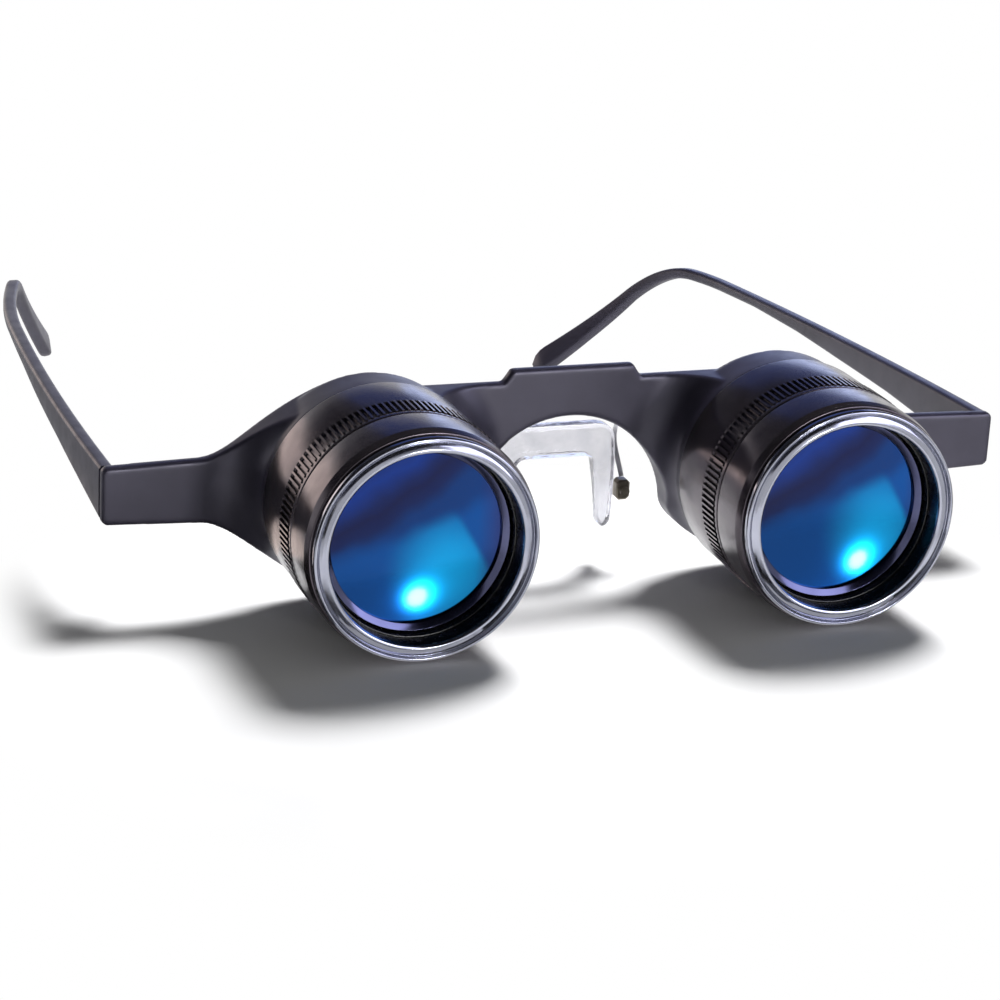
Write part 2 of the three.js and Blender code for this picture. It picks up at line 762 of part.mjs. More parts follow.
// The arm leaves the back of the plate, bends back and drops to the top of the clasp
function noseArm() {
  const spot = claspSpot();
  const claspTop = spot.z + claspHeight / 2 + fitGap;
  const start = plateBack + fitGap;
  const route = new THREE.CatmullRomCurve3([
    new THREE.Vector3(armAnchorX, start, armAnchorZ),
    new THREE.Vector3(armAnchorX, (start + spot.y) / 2, armAnchorZ - armBow / 2),
    new THREE.Vector3(armAnchorX, spot.y + armBow, (armAnchorZ + claspTop) / 2),
    new THREE.Vector3(spot.x, spot.y, claspTop),
  ]);
  const circle = new THREE.Shape();
  circle.absarc(0, 0, armWireRadius, 0, 2 * Math.PI, false);
  const section = new THREE.Shape(circle.getPoints(armWireSides).slice(0, armWireSides));
  return geometryOf(solidOf(new THREE.ExtrudeGeometry(section, {
    steps: armWireSteps, bevelEnabled: false, extrudePath: route,
  })));
}

// Finishes
const satinPlastic = { color: '#23222b', roughness: 0.5, metalness: 0 };
const blackAnodised = { color: '#2c2a30', roughness: 0.36, metalness: 0.6 };
const greyAnodised = { color: '#9d9ca6', roughness: 0.3, metalness: 0.8 };
const darkBore = { color: '#0d0d10', roughness: 0.5, metalness: 0.3 };
const coatedGlass = { color: '#1648b8', roughness: 0.05, metalness: 0.1, transparent: true, opacity: 0.5 };
const plainGlass = { color: '#cfd8dc', roughness: 0.05, metalness: 0, transparent: true, opacity: 0.4 };
const clearSilicone = { color: '#e6e6ec', roughness: 0.2, metalness: 0, transparent: true, opacity: 0.5 };
const platedSteel = { color: '#8c857c', roughness: 0.3, metalness: 0.9 };

function piece(name, geometry, finish) {
  const mesh = new THREE.Mesh(geometry, new THREE.MeshStandardMaterial(finish));
  mesh.name = name;
  return mesh;
}

const glasses = new THREE.Group();
glasses.add(piece('front_frame', frontFrame(), satinPlastic));
glasses.add(piece('nose_saddle', noseSaddle(), clearSilicone));

const telescopePieces = [
  ['barrel_tube', barrelTube(), darkBore],
  ['focus_sleeve', focusSleeve(), blackAnodised],
  ['sleeve_stop_ring', sleeveStopRing(), darkBore],
  ['objective_barrel', objectiveBarrel(), blackAnodised],
  ['front_rim', frontRim(), greyAnodised],
  ['objective_lens', objectiveLens(), coatedGlass],
  ['lens_ring', lensRing(), darkBore],
  ['focus_pin', focusPin(), platedSteel],
  ['eyepiece_cell', eyepieceCell(), satinPlastic],
  ['eyepiece_lens', eyepieceLens(), plainGlass],
  ['eyepiece_ring', eyepieceRing(), darkBore],
];
const sidePieces = [
  ['hinge_bracket', hingeBracket(), platedSteel],
  ['hinge_leaf', hingeLeaf(), platedSteel],
  ['hinge_screw', hingeScrew(), platedSteel],
  ['nose_arm', noseArm(), platedSteel],
  ['nose_clasp', noseClasp(), platedSteel],
  ['nose_screw', noseScrew(), platedSteel],
];

for (const [side, sign] of [['left', 1], ['right', -1]]) {
  const telescope = new THREE.Group();
  telescope.position.x = sign * barrelAxis;
  for (const [name, geometry, finish] of telescopePieces) {
    telescope.add(piece(`${name}_${side}`, geometry.clone(), finish));
  }
  glasses.add(telescope);
  const arm = ['temple', temple(templeBends[side]), satinPlastic];
  for (const [name, geometry, finish] of [arm, ...sidePieces]) {
    glasses.add(piece(`${name}_${side}`, sign > 0 ? geometry : mirrored(geometry), finish));
  }
}

glasses.position.set(0, -(plateFront + plateBack) / 2, -blockTop);
export default glasses;
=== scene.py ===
"""Binocular glasses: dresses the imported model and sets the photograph's camera and light.

The CAD frame is in metres: +X is the wearer's left, and the telescopes look along -Y.
Sizes below are in millimetres. Places are measured from the point midway between the faces
of the two front rims, with y running back to the wearer.
"""
import math

import bmesh
import bpy
from mathutils import Matrix, Vector


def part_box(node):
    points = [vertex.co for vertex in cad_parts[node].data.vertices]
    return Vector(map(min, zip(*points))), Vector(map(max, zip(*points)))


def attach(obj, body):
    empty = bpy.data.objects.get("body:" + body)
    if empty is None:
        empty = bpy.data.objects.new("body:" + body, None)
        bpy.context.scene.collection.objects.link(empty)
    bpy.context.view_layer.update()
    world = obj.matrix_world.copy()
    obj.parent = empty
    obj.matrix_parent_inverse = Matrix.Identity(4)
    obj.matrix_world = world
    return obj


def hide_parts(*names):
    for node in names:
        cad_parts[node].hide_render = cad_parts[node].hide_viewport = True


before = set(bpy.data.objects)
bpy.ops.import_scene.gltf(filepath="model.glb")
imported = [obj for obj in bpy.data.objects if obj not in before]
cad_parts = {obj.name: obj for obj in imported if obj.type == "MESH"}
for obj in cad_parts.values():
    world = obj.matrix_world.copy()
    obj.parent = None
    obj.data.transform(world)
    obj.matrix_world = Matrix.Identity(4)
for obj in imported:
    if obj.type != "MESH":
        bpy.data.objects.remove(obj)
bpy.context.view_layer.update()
scene = bpy.context.scene

MM = 0.001
SIDES = {"left": 1, "right": -1}

# Driving places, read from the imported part
rim_low, rim_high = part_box("front_rim_left")
AXIS_X = (rim_low[0] + rim_high[0]) / 2 / MM
AXIS_Z = (rim_low[2] + rim_high[2]) / 2 / MM
RIM_Y = rim_low[1] / MM
frame_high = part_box("front_frame")[1]
END_X = frame_high[0] / MM
PLATE_BACK = frame_high[1] / MM - RIM_Y


def at(x, y, z):
    """The place, in metres, of a point given in millimetres as told at the top."""
    return Vector((x, y + RIM_Y, z + AXIS_Z)) * MM


# The camera, as fitted to the photograph
PHOTO_SIZE = 1000
FOCAL_PIXELS = 3126.3
SENSOR = 36
CLIP_START = 10
CAMERA_AZIMUTH = math.radians(-20.52)
CAMERA_ELEVATION = math.radians(19.36)
CAMERA_ROLL = math.radians(3.09)
CAMERA_DISTANCE = 428.9
CAMERA_TARGET = (-22, 0, 6.77)


def add_camera():
    azimuth, elevation = CAMERA_AZIMUTH, CAMERA_ELEVATION
    back = Vector((math.sin(azimuth) * math.cos(elevation),
                   -math.cos(azimuth) * math.cos(elevation),
                   math.sin(elevation)))
    level = (-back).cross(Vector((0, 0, 1))).normalized()
    rise = level.cross(-back)
    side = level * math.cos(CAMERA_ROLL) + rise * math.sin(CAMERA_ROLL)
    up = rise * math.cos(CAMERA_ROLL) - level * math.sin(CAMERA_ROLL)
    data = bpy.data.cameras.new("photo_camera")
    data.sensor_width = SENSOR
    data.lens = FOCAL_PIXELS / PHOTO_SIZE * SENSOR
    data.clip_start = CLIP_START * MM
    camera = bpy.data.objects.new("photo_camera", data)
    scene.collection.objects.link(camera)
    stand = at(*CAMERA_TARGET) + back * CAMERA_DISTANCE * MM
    turn = Matrix((side, up, back)).transposed().to_4x4()
    camera.matrix_world = Matrix.Translation(stand) @ turn
    scene.camera = camera


# Materials

def linear(hex_colour):
    """An sRGB hex colour as linear red, green, blue and alpha."""
    values = [int(hex_colour[i:i + 2], 16) / 255 for i in (1, 3, 5)]
    return [v / 12.92 if v <= 0.04045 else ((v + 0.055) / 1.055) ** 2.4 for v in values] + [1]


def add(tree, kind, settings=None, **links):
    """Adds a node. settings go to its sockets or properties, links join other sockets to it.

    A socket goes by its name, or by i and its number where several share a name.
    """
    node = tree.nodes.new(kind)
    for name, value in (settings or {}).items():
        if hasattr(node, name):
            setattr(node, name, value)
        else:
            socket_called(node, name).default_value = value
    for name, source in links.items():
        tree.links.new(source, socket_called(node, name.replace("_", " ")))
    return node


def socket_called(node, name):
    return node.inputs[int(name[1:])] if name[1:].isdigit() else node.inputs[name]


def new_material(name):
    material = bpy.data.materials.new(name)
    material.use_nodes = True
    material.node_tree.nodes.clear()
    return material, material.node_tree


def finish_material(tree, shader):
    add(tree, "ShaderNodeOutputMaterial", Surface=shader.outputs[0])


def object_place(tree):
    return add(tree, "ShaderNodeTexCoord").outputs["Object"]


# The noise lies between these two values nearly everywhere
NOISE_LOW = 0.3
NOISE_HIGH = 0.7


def noise(tree, place, size_mm, detail):
    """A value that wanders over patches of a real size."""
    texture = add(tree, "ShaderNodeTexNoise", {"Scale": 1 / (size_mm * MM), "Detail": detail},
                  Vector=place)
    return texture.outputs["Fac"]


def mottled(tree, place, dark, light, size_mm):
    """A colour that wanders between two tones."""
    ramp = add(tree, "ShaderNodeValToRGB", Fac=noise(tree, place, size_mm, detail=3.0))
    ends = ramp.color_ramp.elements
    ends[0].position = NOISE_LOW
    ends[1].position = NOISE_HIGH
    ends[0].color = linear(dark)
    ends[1].color = linear(light)
    return ramp.outputs["Color"]


def varied(tree, place, low, high, size_mm):
    """A value that wanders between two limits."""
    spread = add(tree, "ShaderNodeMapRange",
                 {"From Min": NOISE_LOW, "From Max": NOISE_HIGH, "To Min": low, "To Max": high},
                 Value=noise(tree, place, size_mm, detail=2.0))
    return spread.outputs["Result"]


def grain_bump(tree, place, size_mm, depth_mm, strength):
    """A normal that follows a fine grain of a real size and depth."""
    bump = add(tree, "ShaderNodeBump", {"Strength": strength, "Distance": depth_mm * MM},
               Height=noise(tree, place, size_mm, detail=1.0))
    return bump.outputs["Normal"]


def surfaced(name, settings, colour, roughness, grain=None, grain_axes=None):
    """A material whose tones and roughness wander over it, with a fine grain if one is given.

    colour is two tones and the size of their patches, roughness is two limits and a size, and
    grain is a size, a depth and a strength. The grain changes only along grain_axes, if given.
    """
    material, tree = new_material(name)
    place = object_place(tree)
    links = {"Base_Color": mottled(tree, place, *colour),
             "Roughness": varied(tree, place, *roughness)}
    if grain_axes:
        place = add(tree, "ShaderNodeMapping", {"Scale": grain_axes}, Vector=place).outputs[0]
    if grain:
        links["Normal"] = grain_bump(tree, place, *grain)
    finish_material(tree, add(tree, "ShaderNodeBsdfPrincipled", settings, **links))
    return material


def turned_metal(name, dark, light, low, high, metallic):
    # Anodised aluminium, turned on a lathe: fine rings round the telescope's axis. The tool
    # marks are 0.1 mm apart and are drawn at 0.6 mm, so that they show.
    return surfaced(name, {"Metallic": metallic}, (dark, light, 6), (low, high, 2),
                    (0.6, 0.01, 0.04), grain_axes=(0, 1, 0))


def steel(name, dark, light, low, high, metallic):
    # Small steel parts: they wear a little where they are handled.
    return surfaced(name, {"Metallic": metallic}, (dark, light, 1.5), (low, high, 0.8),
                    (0.25, 0.01, 0.1))


def toned(tree, value, low, high, tones):
    """A colour ramp over a value that runs from low to high."""
    spread = add(tree, "ShaderNodeMapRange", {"From Min": low, "From Max": high}, Value=value)
    ramp = add(tree, "ShaderNodeValToRGB", Fac=spread.outputs["Result"])
    while len(ramp.color_ramp.elements) < len(tones):
        ramp.color_ramp.elements.new(0.5)
    for element, (position, tone) in zip(ramp.color_ramp.elements, tones):
        element.position = position
        element.color = linear(tone)
    return ramp.outputs["Color"]


def patch(tree, face, middle, reach, turn, soft):
    """A soft oval on the lens face: 1 at its middle, 0 outside its reach."""
    centred = add(tree, "ShaderNodeMapping", {"Location": (*middle, 0), "Rotation": (0, 0, turn),
                                              "Scale": (*reach, 1), "vector_type": "TEXTURE"},
                  Vector=face)
    away = add(tree, "ShaderNodeVectorMath", {"operation": "LENGTH"}, Vector=centred.outputs[0])
    edge = add(tree, "ShaderNodeMapRange",
               {"From Min": 1.0, "From Max": 1 - soft, "interpolation_type": "SMOOTHSTEP"},
               Value=away.outputs["Value"])
    return edge.outputs["Result"]


# The coating's blue with a painted reflection: its tones from the foot of the lens up across
# the slanting band, and the painted reflection and painted shade tones laid over them
COATING_AND_PAINTED_REFLECTION_TONES = [(0, "#02214c"), (0.35, "#012b60"), (0.6, "#04285a"), (0.67, "#0a1842"),
                 (0.74, "#0b1238"), (0.79, "#0b1946"), (0.87, "#09276a"), (1, "#091b4a")]
PAINTED_REFLECTION_BELOW_TONE = "#003a76"
PAINTED_REFLECTION_CYAN_TONE = "#0080b6"
PAINTED_SHADE_RIGHT_TONE = "#231f4a"
# What turns the front face's normals into those of the hollow rear face, and the lens's
# slight tilt
HOLLOW = (-1.06, 1, -1.06)
LENS_TILT = (0, 0, 0.036)


def coating_with_painted_reflection(tree, face):
    """The coating's blue with a painted reflection over the lens face, whose edge is 1 from its
    middle.
    """
    cloud = add(tree, "ShaderNodeTexNoise", {"Scale": 2.2, "Detail": 1.0}, Vector=face)
    split = add(tree, "ShaderNodeSeparateXYZ", Vector=face)
    u, v = split.outputs["X"], split.outputs["Y"]

    def slanted(slope, start, wander):
        """Height above a slanting line across the lens face, with a cloudy edge."""
        lean = add(tree, "ShaderNodeMath", {"operation": "MULTIPLY_ADD", "i1": -slope},
                   i0=u, i2=v)
        cloudy = add(tree, "ShaderNodeMath", {"operation": "MULTIPLY_ADD", "i1": wander},
                     i0=cloud.outputs["Fac"], i2=lean.outputs[0])
        return add(tree, "ShaderNodeMath", {"operation": "SUBTRACT", "i1": start},
                   i0=cloudy.outputs[0]).outputs[0]

    def under(value, soft):
        """1 well under zero, 0 well over it."""
        step = add(tree, "ShaderNodeMapRange",
                   {"From Min": soft, "From Max": -soft, "interpolation_type": "SMOOTHSTEP"},
                   Value=value)
        return step.outputs["Result"]

    def times(a, b):
        return add(tree, "ShaderNodeMath", {"operation": "MULTIPLY"}, i0=a, i1=b).outputs[0]

    def tinted(base, tone, share):
        mix = add(tree, "ShaderNodeMix", {"data_type": "RGBA", "i7": linear(tone)},
                  Factor=share, i6=base)
        return mix.outputs[2]

    # Painted reflection: the slanting band, the royal blue below it and the cyan patch. The darker
    # right edge is painted shade.
    band = slanted(slope=0.6, start=0, wander=0.25)
    colour = toned(tree, band, -0.9, 1.3, COATING_AND_PAINTED_REFLECTION_TONES)
    below = under(slanted(slope=0.35, start=0.2, wander=0.2), soft=0.14)
    colour = tinted(colour, PAINTED_REFLECTION_BELOW_TONE, below)
    inside = under(slanted(slope=-1.63, start=0.97, wander=0), soft=0.1)
    cyan = patch(tree, face, middle=(0.4, -0.42), reach=(0.78, 0.95), turn=math.radians(24),
                 soft=0.9)
    colour = tinted(colour, PAINTED_REFLECTION_CYAN_TONE, times(times(cyan, below), inside))
    rightmost = add(tree, "ShaderNodeMapRange", {"From Min": 0.7, "From Max": 0.98, "To Max": 0.7},
                    Value=u)
    return tinted(colour, PAINTED_SHADE_RIGHT_TONE, rightmost.outputs["Result"])


def coated_glass():
    # Optical glass with a blue mirror coating, gloss all over. A painted reflection lies in its
    # colour: a slanting navy band, royal blue above it and cyan below, with painted shade at the
    # right edge. The lens's own UV map carries it. Its normals are those of the hollow rear face,
    # for the mirror and the gloss alike, which gives the small bright spot low on each lens.
    material, tree = new_material("blue_coated_optical_glass")
    face = add(tree, "ShaderNodeUVMap", {"uv_map": "lens_face"}).outputs["UV"]
    normal = add(tree, "ShaderNodeNewGeometry").outputs["Normal"]
    hollow = add(tree, "ShaderNodeVectorMath",
                 {"operation": "MULTIPLY_ADD", "i1": HOLLOW, "i2": LENS_TILT}, i0=normal)
    shader = add(tree, "ShaderNodeBsdfPrincipled",
                 {"Metallic": 1.0, "Roughness": 0.15, "Coat Weight": 0.22,
                  "Coat Roughness": 0.09, "Coat IOR": 1.5},
                 Base_Color=coating_with_painted_reflection(tree, face), Normal=hollow.outputs[0],
                 Coat_Normal=hollow.outputs[0])
    finish_material(tree, shader)
    return material


def clear_silicone():
    # Clear moulded silicone rubber: soft, slightly cloudy, with gloss on its rounded edges.
    material, tree = new_material("clear_silicone_rubber")
    place = object_place(tree)
    # Painted shade: it is greyer where its surface turns edge-on to the eye, standing in for the
    # dark surroundings seen through it.
    edge = add(tree, "ShaderNodeLayerWeight", {"Blend": 0.5})
    tint = add(tree, "ShaderNodeMix", {"data_type": "RGBA", "i7": linear("#8e8e9c")},
               Factor=edge.outputs["Facing"], i6=mottled(tree, place, "#dcdce4", "#f6f6fa", 3))
    shader = add(tree, "ShaderNodeBsdfPrincipled",
                 {"IOR": 1.41, "Transmission Weight": 0.88},
                 Base_Color=tint.outputs[2],
                 Roughness=varied(tree, place, 0.04, 0.12, 2),
                 Normal=grain_bump(tree, place, size_mm=1.8, depth_mm=0.2, strength=0.5))
    finish_material(tree, shader)
    return material


# Injection-moulded ABS from a finely eroded mould: near black, with a soft satin sheen. The
# real grain is about 0.05 mm and is drawn at 0.35 mm, so that it shows.
ABS = surfaced("moulded_abs_satin_black",
               {"IOR": 1.6, "Metallic": 0.0, "Specular Tint": linear("#eeeaff")},
               ("#211f29", "#2d2b37", 9), (0.36, 0.44, 3), (0.35, 0.02, 0.1))
# Black anodised aluminium: warm grey where it catches the light
BARREL_METAL = turned_metal("black_anodised_aluminium", "#4c464c", "#585258", 0.2, 0.27, 0.85)
# Bright anodised aluminium: the light rim round each front lens
RIM_METAL = turned_metal("bright_anodised_aluminium", "#8b8d99", "#9b9da9", 0.12, 0.16, 0.95)
# The lens's retaining ring: satin anodised, a little violet
RING_METAL = turned_metal("violet_anodised_aluminium", "#3c3e56", "#4a4c66", 0.12, 0.16, 0.95)
# Gloss black enamel, sprayed inside the barrels: it keeps thin bright lines on the steps
ENAMEL = surfaced("gloss_black_enamel", {"IOR": 1.5, "Metallic": 0.0},
                  ("#08080a", "#101014", 4), (0.2, 0.32, 2), (0.5, 0.01, 0.15))
# Nickel-plated steel, brown with handling, and the plain spring wire of the nose arms
STEEL = steel("nickel_plated_steel", "#6b645b", "#8c8578", 0.3, 0.45, 0.9)
WIRE = steel("polished_steel_wire", "#d4d4da", "#e8e8ec", 0.3, 0.4, 0.35)
COATED = coated_glass()
# Polished optical glass without a coating: dim grey, with sharp reflections
CLEAR_GLASS = surfaced("polished_optical_glass", {"IOR": 1.52, "Transmission Weight": 0.6},
                       ("#39424a", "#4a545c", 8), (0.03, 0.08, 4))
SILICONE = clear_silicone()


# Shapes

# Faces that meet at more than this angle keep a crease between them
EDGE_ANGLE = math.radians(34)
# A turned piece's corners are rounded over this length, but never over more than a share of
# the side beside them
EASE = 0.12
FINE_EASE = 0.08
EASE_SHARE = 0.35
EASE_STEPS = 4
TURNED_SIDES = 144
# Points nearer to each other than this become one
WELD = 0.001
FINE_WELD = 0.0005


def link(name, mesh, material):
    mesh.materials.clear()
    mesh.materials.append(material)
    obj = bpy.data.objects.new(name, mesh)
    scene.collection.objects.link(obj)
    return obj


def mesh_from(bm, name):
    """The mesh of a bmesh that is finished."""
    mesh = bpy.data.meshes.new(name)
    bm.to_mesh(mesh)
    bm.free()
    return mesh


def soften(mesh):
    """Smooth shading, with creases kept where two faces meet sharply."""
    mesh.polygons.foreach_set("use_smooth", [True] * len(mesh.polygons))
    mesh.set_sharp_from_angle(angle=EDGE_ANGLE)


def mesh_left_by(obj):
    """The object's mesh with its modifiers made real. The object itself goes."""
    graph = bpy.context.evaluated_depsgraph_get()
    mesh = bpy.data.meshes.new_from_object(obj.evaluated_get(graph))
    bpy.data.objects.remove(obj)
    return mesh


def settled(obj):
    """The object as a plain mesh under the same name, with its modifiers made real."""
    name, material = obj.name, obj.data.materials[0]
    return link(name, mesh_left_by(obj), material)


def remoulded(obj, voxel, passes):
    """The object under one even skin of small faces, with its edges and corners eased."""
    remesh = obj.modifiers.new("skin", "REMESH")
    remesh.mode = "VOXEL"
    remesh.voxel_size = voxel * MM
    remesh.use_smooth_shade = True
    smooth = obj.modifiers.new("ease", "SMOOTH")
    smooth.iterations = passes
    return settled(obj)


def eased(section, ease):
    """The section with each corner off the axis rounded by a short curve."""
    points = []
    for i, corner in enumerate(section):
        here = Vector(corner)
        if here.x == 0:
            points.append(here)
            continue
        before = Vector(section[i - 1]) - here
        after = Vector(section[(i + 1) % len(section)]) - here
        reach = min(ease, before.length * EASE_SHARE, after.length * EASE_SHARE)
        start = here + before.normalized() * reach
        end = here + after.normalized() * reach
        for step in range(EASE_STEPS + 1):
            t = step / EASE_STEPS
            points.append(start * (1 - t) ** 2 + here * 2 * t * (1 - t) + end * t ** 2)
    return points


def turned(name, side, section, material, ease=EASE):
    """A piece turned on a lathe, from the (radius, station) points round its section."""
    points = eased(section, ease) if ease else [Vector(p) for p in section]
    bm = bmesh.new()
    rings = []
    for radius, station in points:
        ring = []
        for k in range(1 if radius == 0 else TURNED_SIDES):
            angle = 2 * math.pi * k / TURNED_SIDES
            ring.append(bm.verts.new(at(SIDES[side] * AXIS_X + radius * math.sin(angle),
                                        station, radius * math.cos(angle))))
        rings.append(ring)
    for near, far in zip(rings, rings[1:] + rings[:1]):
        for k in range(TURNED_SIDES):
            corners = [near[k % len(near)], near[(k + 1) % len(near)],
                       far[(k + 1) % len(far)], far[k % len(far)]]
            unique = list(dict.fromkeys(corners))
            if len(unique) > 2:
                bm.faces.new(unique)
    bmesh.ops.remove_doubles(bm, verts=bm.verts, dist=FINE_WELD * MM)
    bmesh.ops.recalc_face_normals(bm, faces=bm.faces)
    mesh = mesh_from(bm, name)
    soften(mesh)
    return link(name, mesh, material)


def paint_inside(obj, side, radius, first, last):
    """Gloss black on the faces nearer the axis than a radius, between two stations."""
    obj.data.materials.append(ENAMEL)
    axis = at(SIDES[side] * AXIS_X, 0, 0)
    for face in obj.data.polygons:
        place = face.center / MM - axis / MM
        if math.hypot(place.x, place.z) < radius and first < place.y < last:
            face.material_index = 1
    return obj


def stand_for(obj, body, *nodes):
    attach(obj, body)
    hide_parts(*nodes)


# Telescope sections, as (radius, station behind the rim's front face)
BAND = 16.9
FRONT_RIM = [(14, 0.5), (14.12, 0.16), (14.35, 0.02), (14.6, 0), (15.1, 0.16), (15.5, 0.42),
             (15.6, 0.58), (15.7, 0.5), (15.78, 0.2), (15.92, 0.04), (16.08, 0.02), (16.26, 0.14),
             (16.35, 0.36), (16.35, 0.95), (15.9, 1.18), (14.9, 1.18), (14.9, 3.1), (14, 3.1)]
OBJECTIVE_BARREL = [(15.2, 1.5), (16.6, 1.5), (BAND, 3), (BAND, 9.4), (13.1, 9.4), (13.1, 24),
                    (12.2, 24), (12.2, 8.2), (13.2, 8.2), (13.2, 6.1), (13.8, 6.1), (13.8, 3.4),
                    (15.2, 3.4)]
LENS_RING = [(12.5, 5.95), (13.5, 5.95), (13.5, 4.62), (13.42, 4.55), (12.5, 5.08)]
FOCUS_SLEEVE = [(15.6, 9.7), (BAND, 9.7), (BAND, 10.55), (16.55, 10.7), (16.55, 15),
                (BAND, 15.15), (BAND, 23.8), (14.6, 23.8), (14.6, 11.38), (15.6, 11.38)]
EYEPIECE_CELL = [(8.3, 24.6), (13.1, 24.6), (13.1, 33.6), (14.3, 33.6), (14.3, 34.7),
                 (14.1, 34.9), (11.5, 34.9), (7.4, 32.5), (7.4, 32.2), (8.3, 32.2)]
# Where the rim and the front barrel are enamelled: nearer the axis than a radius, between
# two stations
RIM_PAINT = {"radius": 14.4, "first": 0.6, "last": 4}
BARREL_PAINT = {"radius": 15.1, "first": 2, "last": 24.5}
# Lenses: the radius of the disc and of its curve, and the stations of its two edges
FRONT_LENS = {"radius": 12.9, "curve": 48, "front": 6.25, "back": 7.9, "bulge": 1}
EYE_LENS = {"radius": 8, "curve": 15, "front": 26.38, "back": 31.9, "bulge": -1}
LENS_STEPS = 12


def lens_section(radius, curve, front, back, bulge):
    """A lens whose two faces are parts of spheres, and bulge out (1) or are hollow (-1)."""
    rise = math.sqrt(curve ** 2 - radius ** 2)
    reaches = [radius * i / LENS_STEPS for i in range(LENS_STEPS + 1)]
    face = [(r, math.sqrt(curve ** 2 - r ** 2) - rise) for r in reaches]
    return ([(r, front - bulge * s) for r, s in face]
            + [(r, back + bulge * s) for r, s in reversed(face)])


# How far the painted reflection pattern lies off each front lens's middle, across and up, in radii
LENS_SHIFT = {"left": (0.16, 0.08), "right": (0, 0)}


def map_lens_face(obj, side):
    """A UV map over the front lens: its middle is (0, 0) before the shift, its edge 1 away."""
    layer = obj.data.uv_layers.new(name="lens_face")
    middle = at(SIDES[side] * AXIS_X, 0, 0)
    radius = FRONT_LENS["radius"] * MM
    across, up = LENS_SHIFT[side]
    for loop in obj.data.loops:
        place = obj.data.vertices[loop.vertex_index].co - middle
        layer.data[loop.index].uv = (place.x / radius - across, place.z / radius - up)


# Geometry Nodes

def new_tree(name, inputs):
    """A Geometry Nodes tree with these inputs beside its mesh, and the sockets they come by."""
    tree = bpy.data.node_groups.new(name, "GeometryNodeTree")
    tree.interface.new_socket("Geometry", in_out="INPUT", socket_type="NodeSocketGeometry")
    for socket, kind in inputs.items():
        tree.interface.new_socket(socket, in_out="INPUT", socket_type=kind)
    tree.interface.new_socket("Geometry", in_out="OUTPUT", socket_type="NodeSocketGeometry")
    return tree, tree.nodes.new("NodeGroupInput").outputs


def set_input(modifier, name, value):
    for item in modifier.node_group.interface.items_tree:
        if item.name == name and item.in_out == "INPUT":
            modifier[item.identifier] = value


# Knurl: straight ridges round the focus sleeve, each narrower at its top

KNURL = {"Count": 118, "Radius": 16.7 * MM, "Length": 4.4 * MM, "Width": 0.52 * MM,
         "Height": 0.7 * MM}
KNURL_MIDDLE = 12.85
RIDGE_TAPER = 0.4


def knurl_tree(material):
    """Adds the ridges to the turned sleeve that comes in."""
    tree, given = new_tree("knurl_ridges", {
        "Count": "NodeSocketInt", "Radius": "NodeSocketFloat", "Length": "NodeSocketFloat",
        "Width": "NodeSocketFloat", "Height": "NodeSocketFloat", "Middle": "NodeSocketVector"})
    # One ridge: a block whose outer corners are drawn in
    size = add(tree, "ShaderNodeCombineXYZ", X=given["Width"], Y=given["Length"],
               Z=given["Height"])
    block = add(tree, "GeometryNodeMeshCube", Size=size.outputs[0])
    spot = add(tree, "GeometryNodeInputPosition")
    parts = add(tree, "ShaderNodeSeparateXYZ", Vector=spot.outputs[0])
    outer = add(tree, "FunctionNodeCompare", {"data_type": "FLOAT", "operation": "GREATER_THAN"},
                i0=parts.outputs["Z"])
    taper = add(tree, "ShaderNodeMath", {"operation": "MULTIPLY", "i1": -RIDGE_TAPER},
                i0=parts.outputs["X"])
    shift = add(tree, "ShaderNodeCombineXYZ", X=taper.outputs[0])
    ridge = add(tree, "GeometryNodeSetPosition", Geometry=block.outputs["Mesh"],
                Selection=outer.outputs["Result"], Offset=shift.outputs[0])
    # Its places, evenly round the axis
    index = add(tree, "GeometryNodeInputIndex")
    share = add(tree, "ShaderNodeMath", {"operation": "DIVIDE"}, i0=index.outputs[0],
                i1=given["Count"])
    angle = add(tree, "ShaderNodeMath", {"operation": "MULTIPLY", "i1": 2 * math.pi},
                i0=share.outputs[0])
    sine = add(tree, "ShaderNodeMath", {"operation": "SINE"}, i0=angle.outputs[0])
    cosine = add(tree, "ShaderNodeMath", {"operation": "COSINE"}, i0=angle.outputs[0])
    around = add(tree, "ShaderNodeCombineXYZ", X=sine.outputs[0], Z=cosine.outputs[0])
    outward = add(tree, "ShaderNodeVectorMath", {"operation": "SCALE"}, i0=around.outputs[0],
                  Scale=given["Radius"])
    place = add(tree, "ShaderNodeVectorMath", {"operation": "ADD"}, i0=outward.outputs[0],
                i1=given["Middle"])
    points = add(tree, "GeometryNodePoints", Count=given["Count"], Position=place.outputs[0])
    turn = add(tree, "ShaderNodeCombineXYZ", Y=angle.outputs[0])
    copies = add(tree, "GeometryNodeInstanceOnPoints", Points=points.outputs[0],
                 Instance=ridge.outputs[0], Rotation=turn.outputs[0])
    real = add(tree, "GeometryNodeRealizeInstances", Geometry=copies.outputs[0])
    joined = add(tree, "GeometryNodeJoinGeometry", Geometry=real.outputs[0])
    tree.links.new(given["Geometry"], joined.inputs["Geometry"])
    done = add(tree, "GeometryNodeSetMaterial", {"Material": material}, Geometry=joined.outputs[0])
    add(tree, "NodeGroupOutput", Geometry=done.outputs[0])
    return tree


KNURL_TREE = knurl_tree(BARREL_METAL)


def focus_sleeve(side):
    """The turned sleeve with its knurl."""
    sleeve = turned(f"knurled_focus_sleeve_{side}", side, FOCUS_SLEEVE, BARREL_METAL)
    modifier = sleeve.modifiers.new("knurl", "NODES")
    modifier.node_group = KNURL_TREE
    for name, value in KNURL.items():
        set_input(modifier, name, value)
    set_input(modifier, "Middle", at(SIDES[side] * AXIS_X, KNURL_MIDDLE, 0))
    return settled(sleeve)


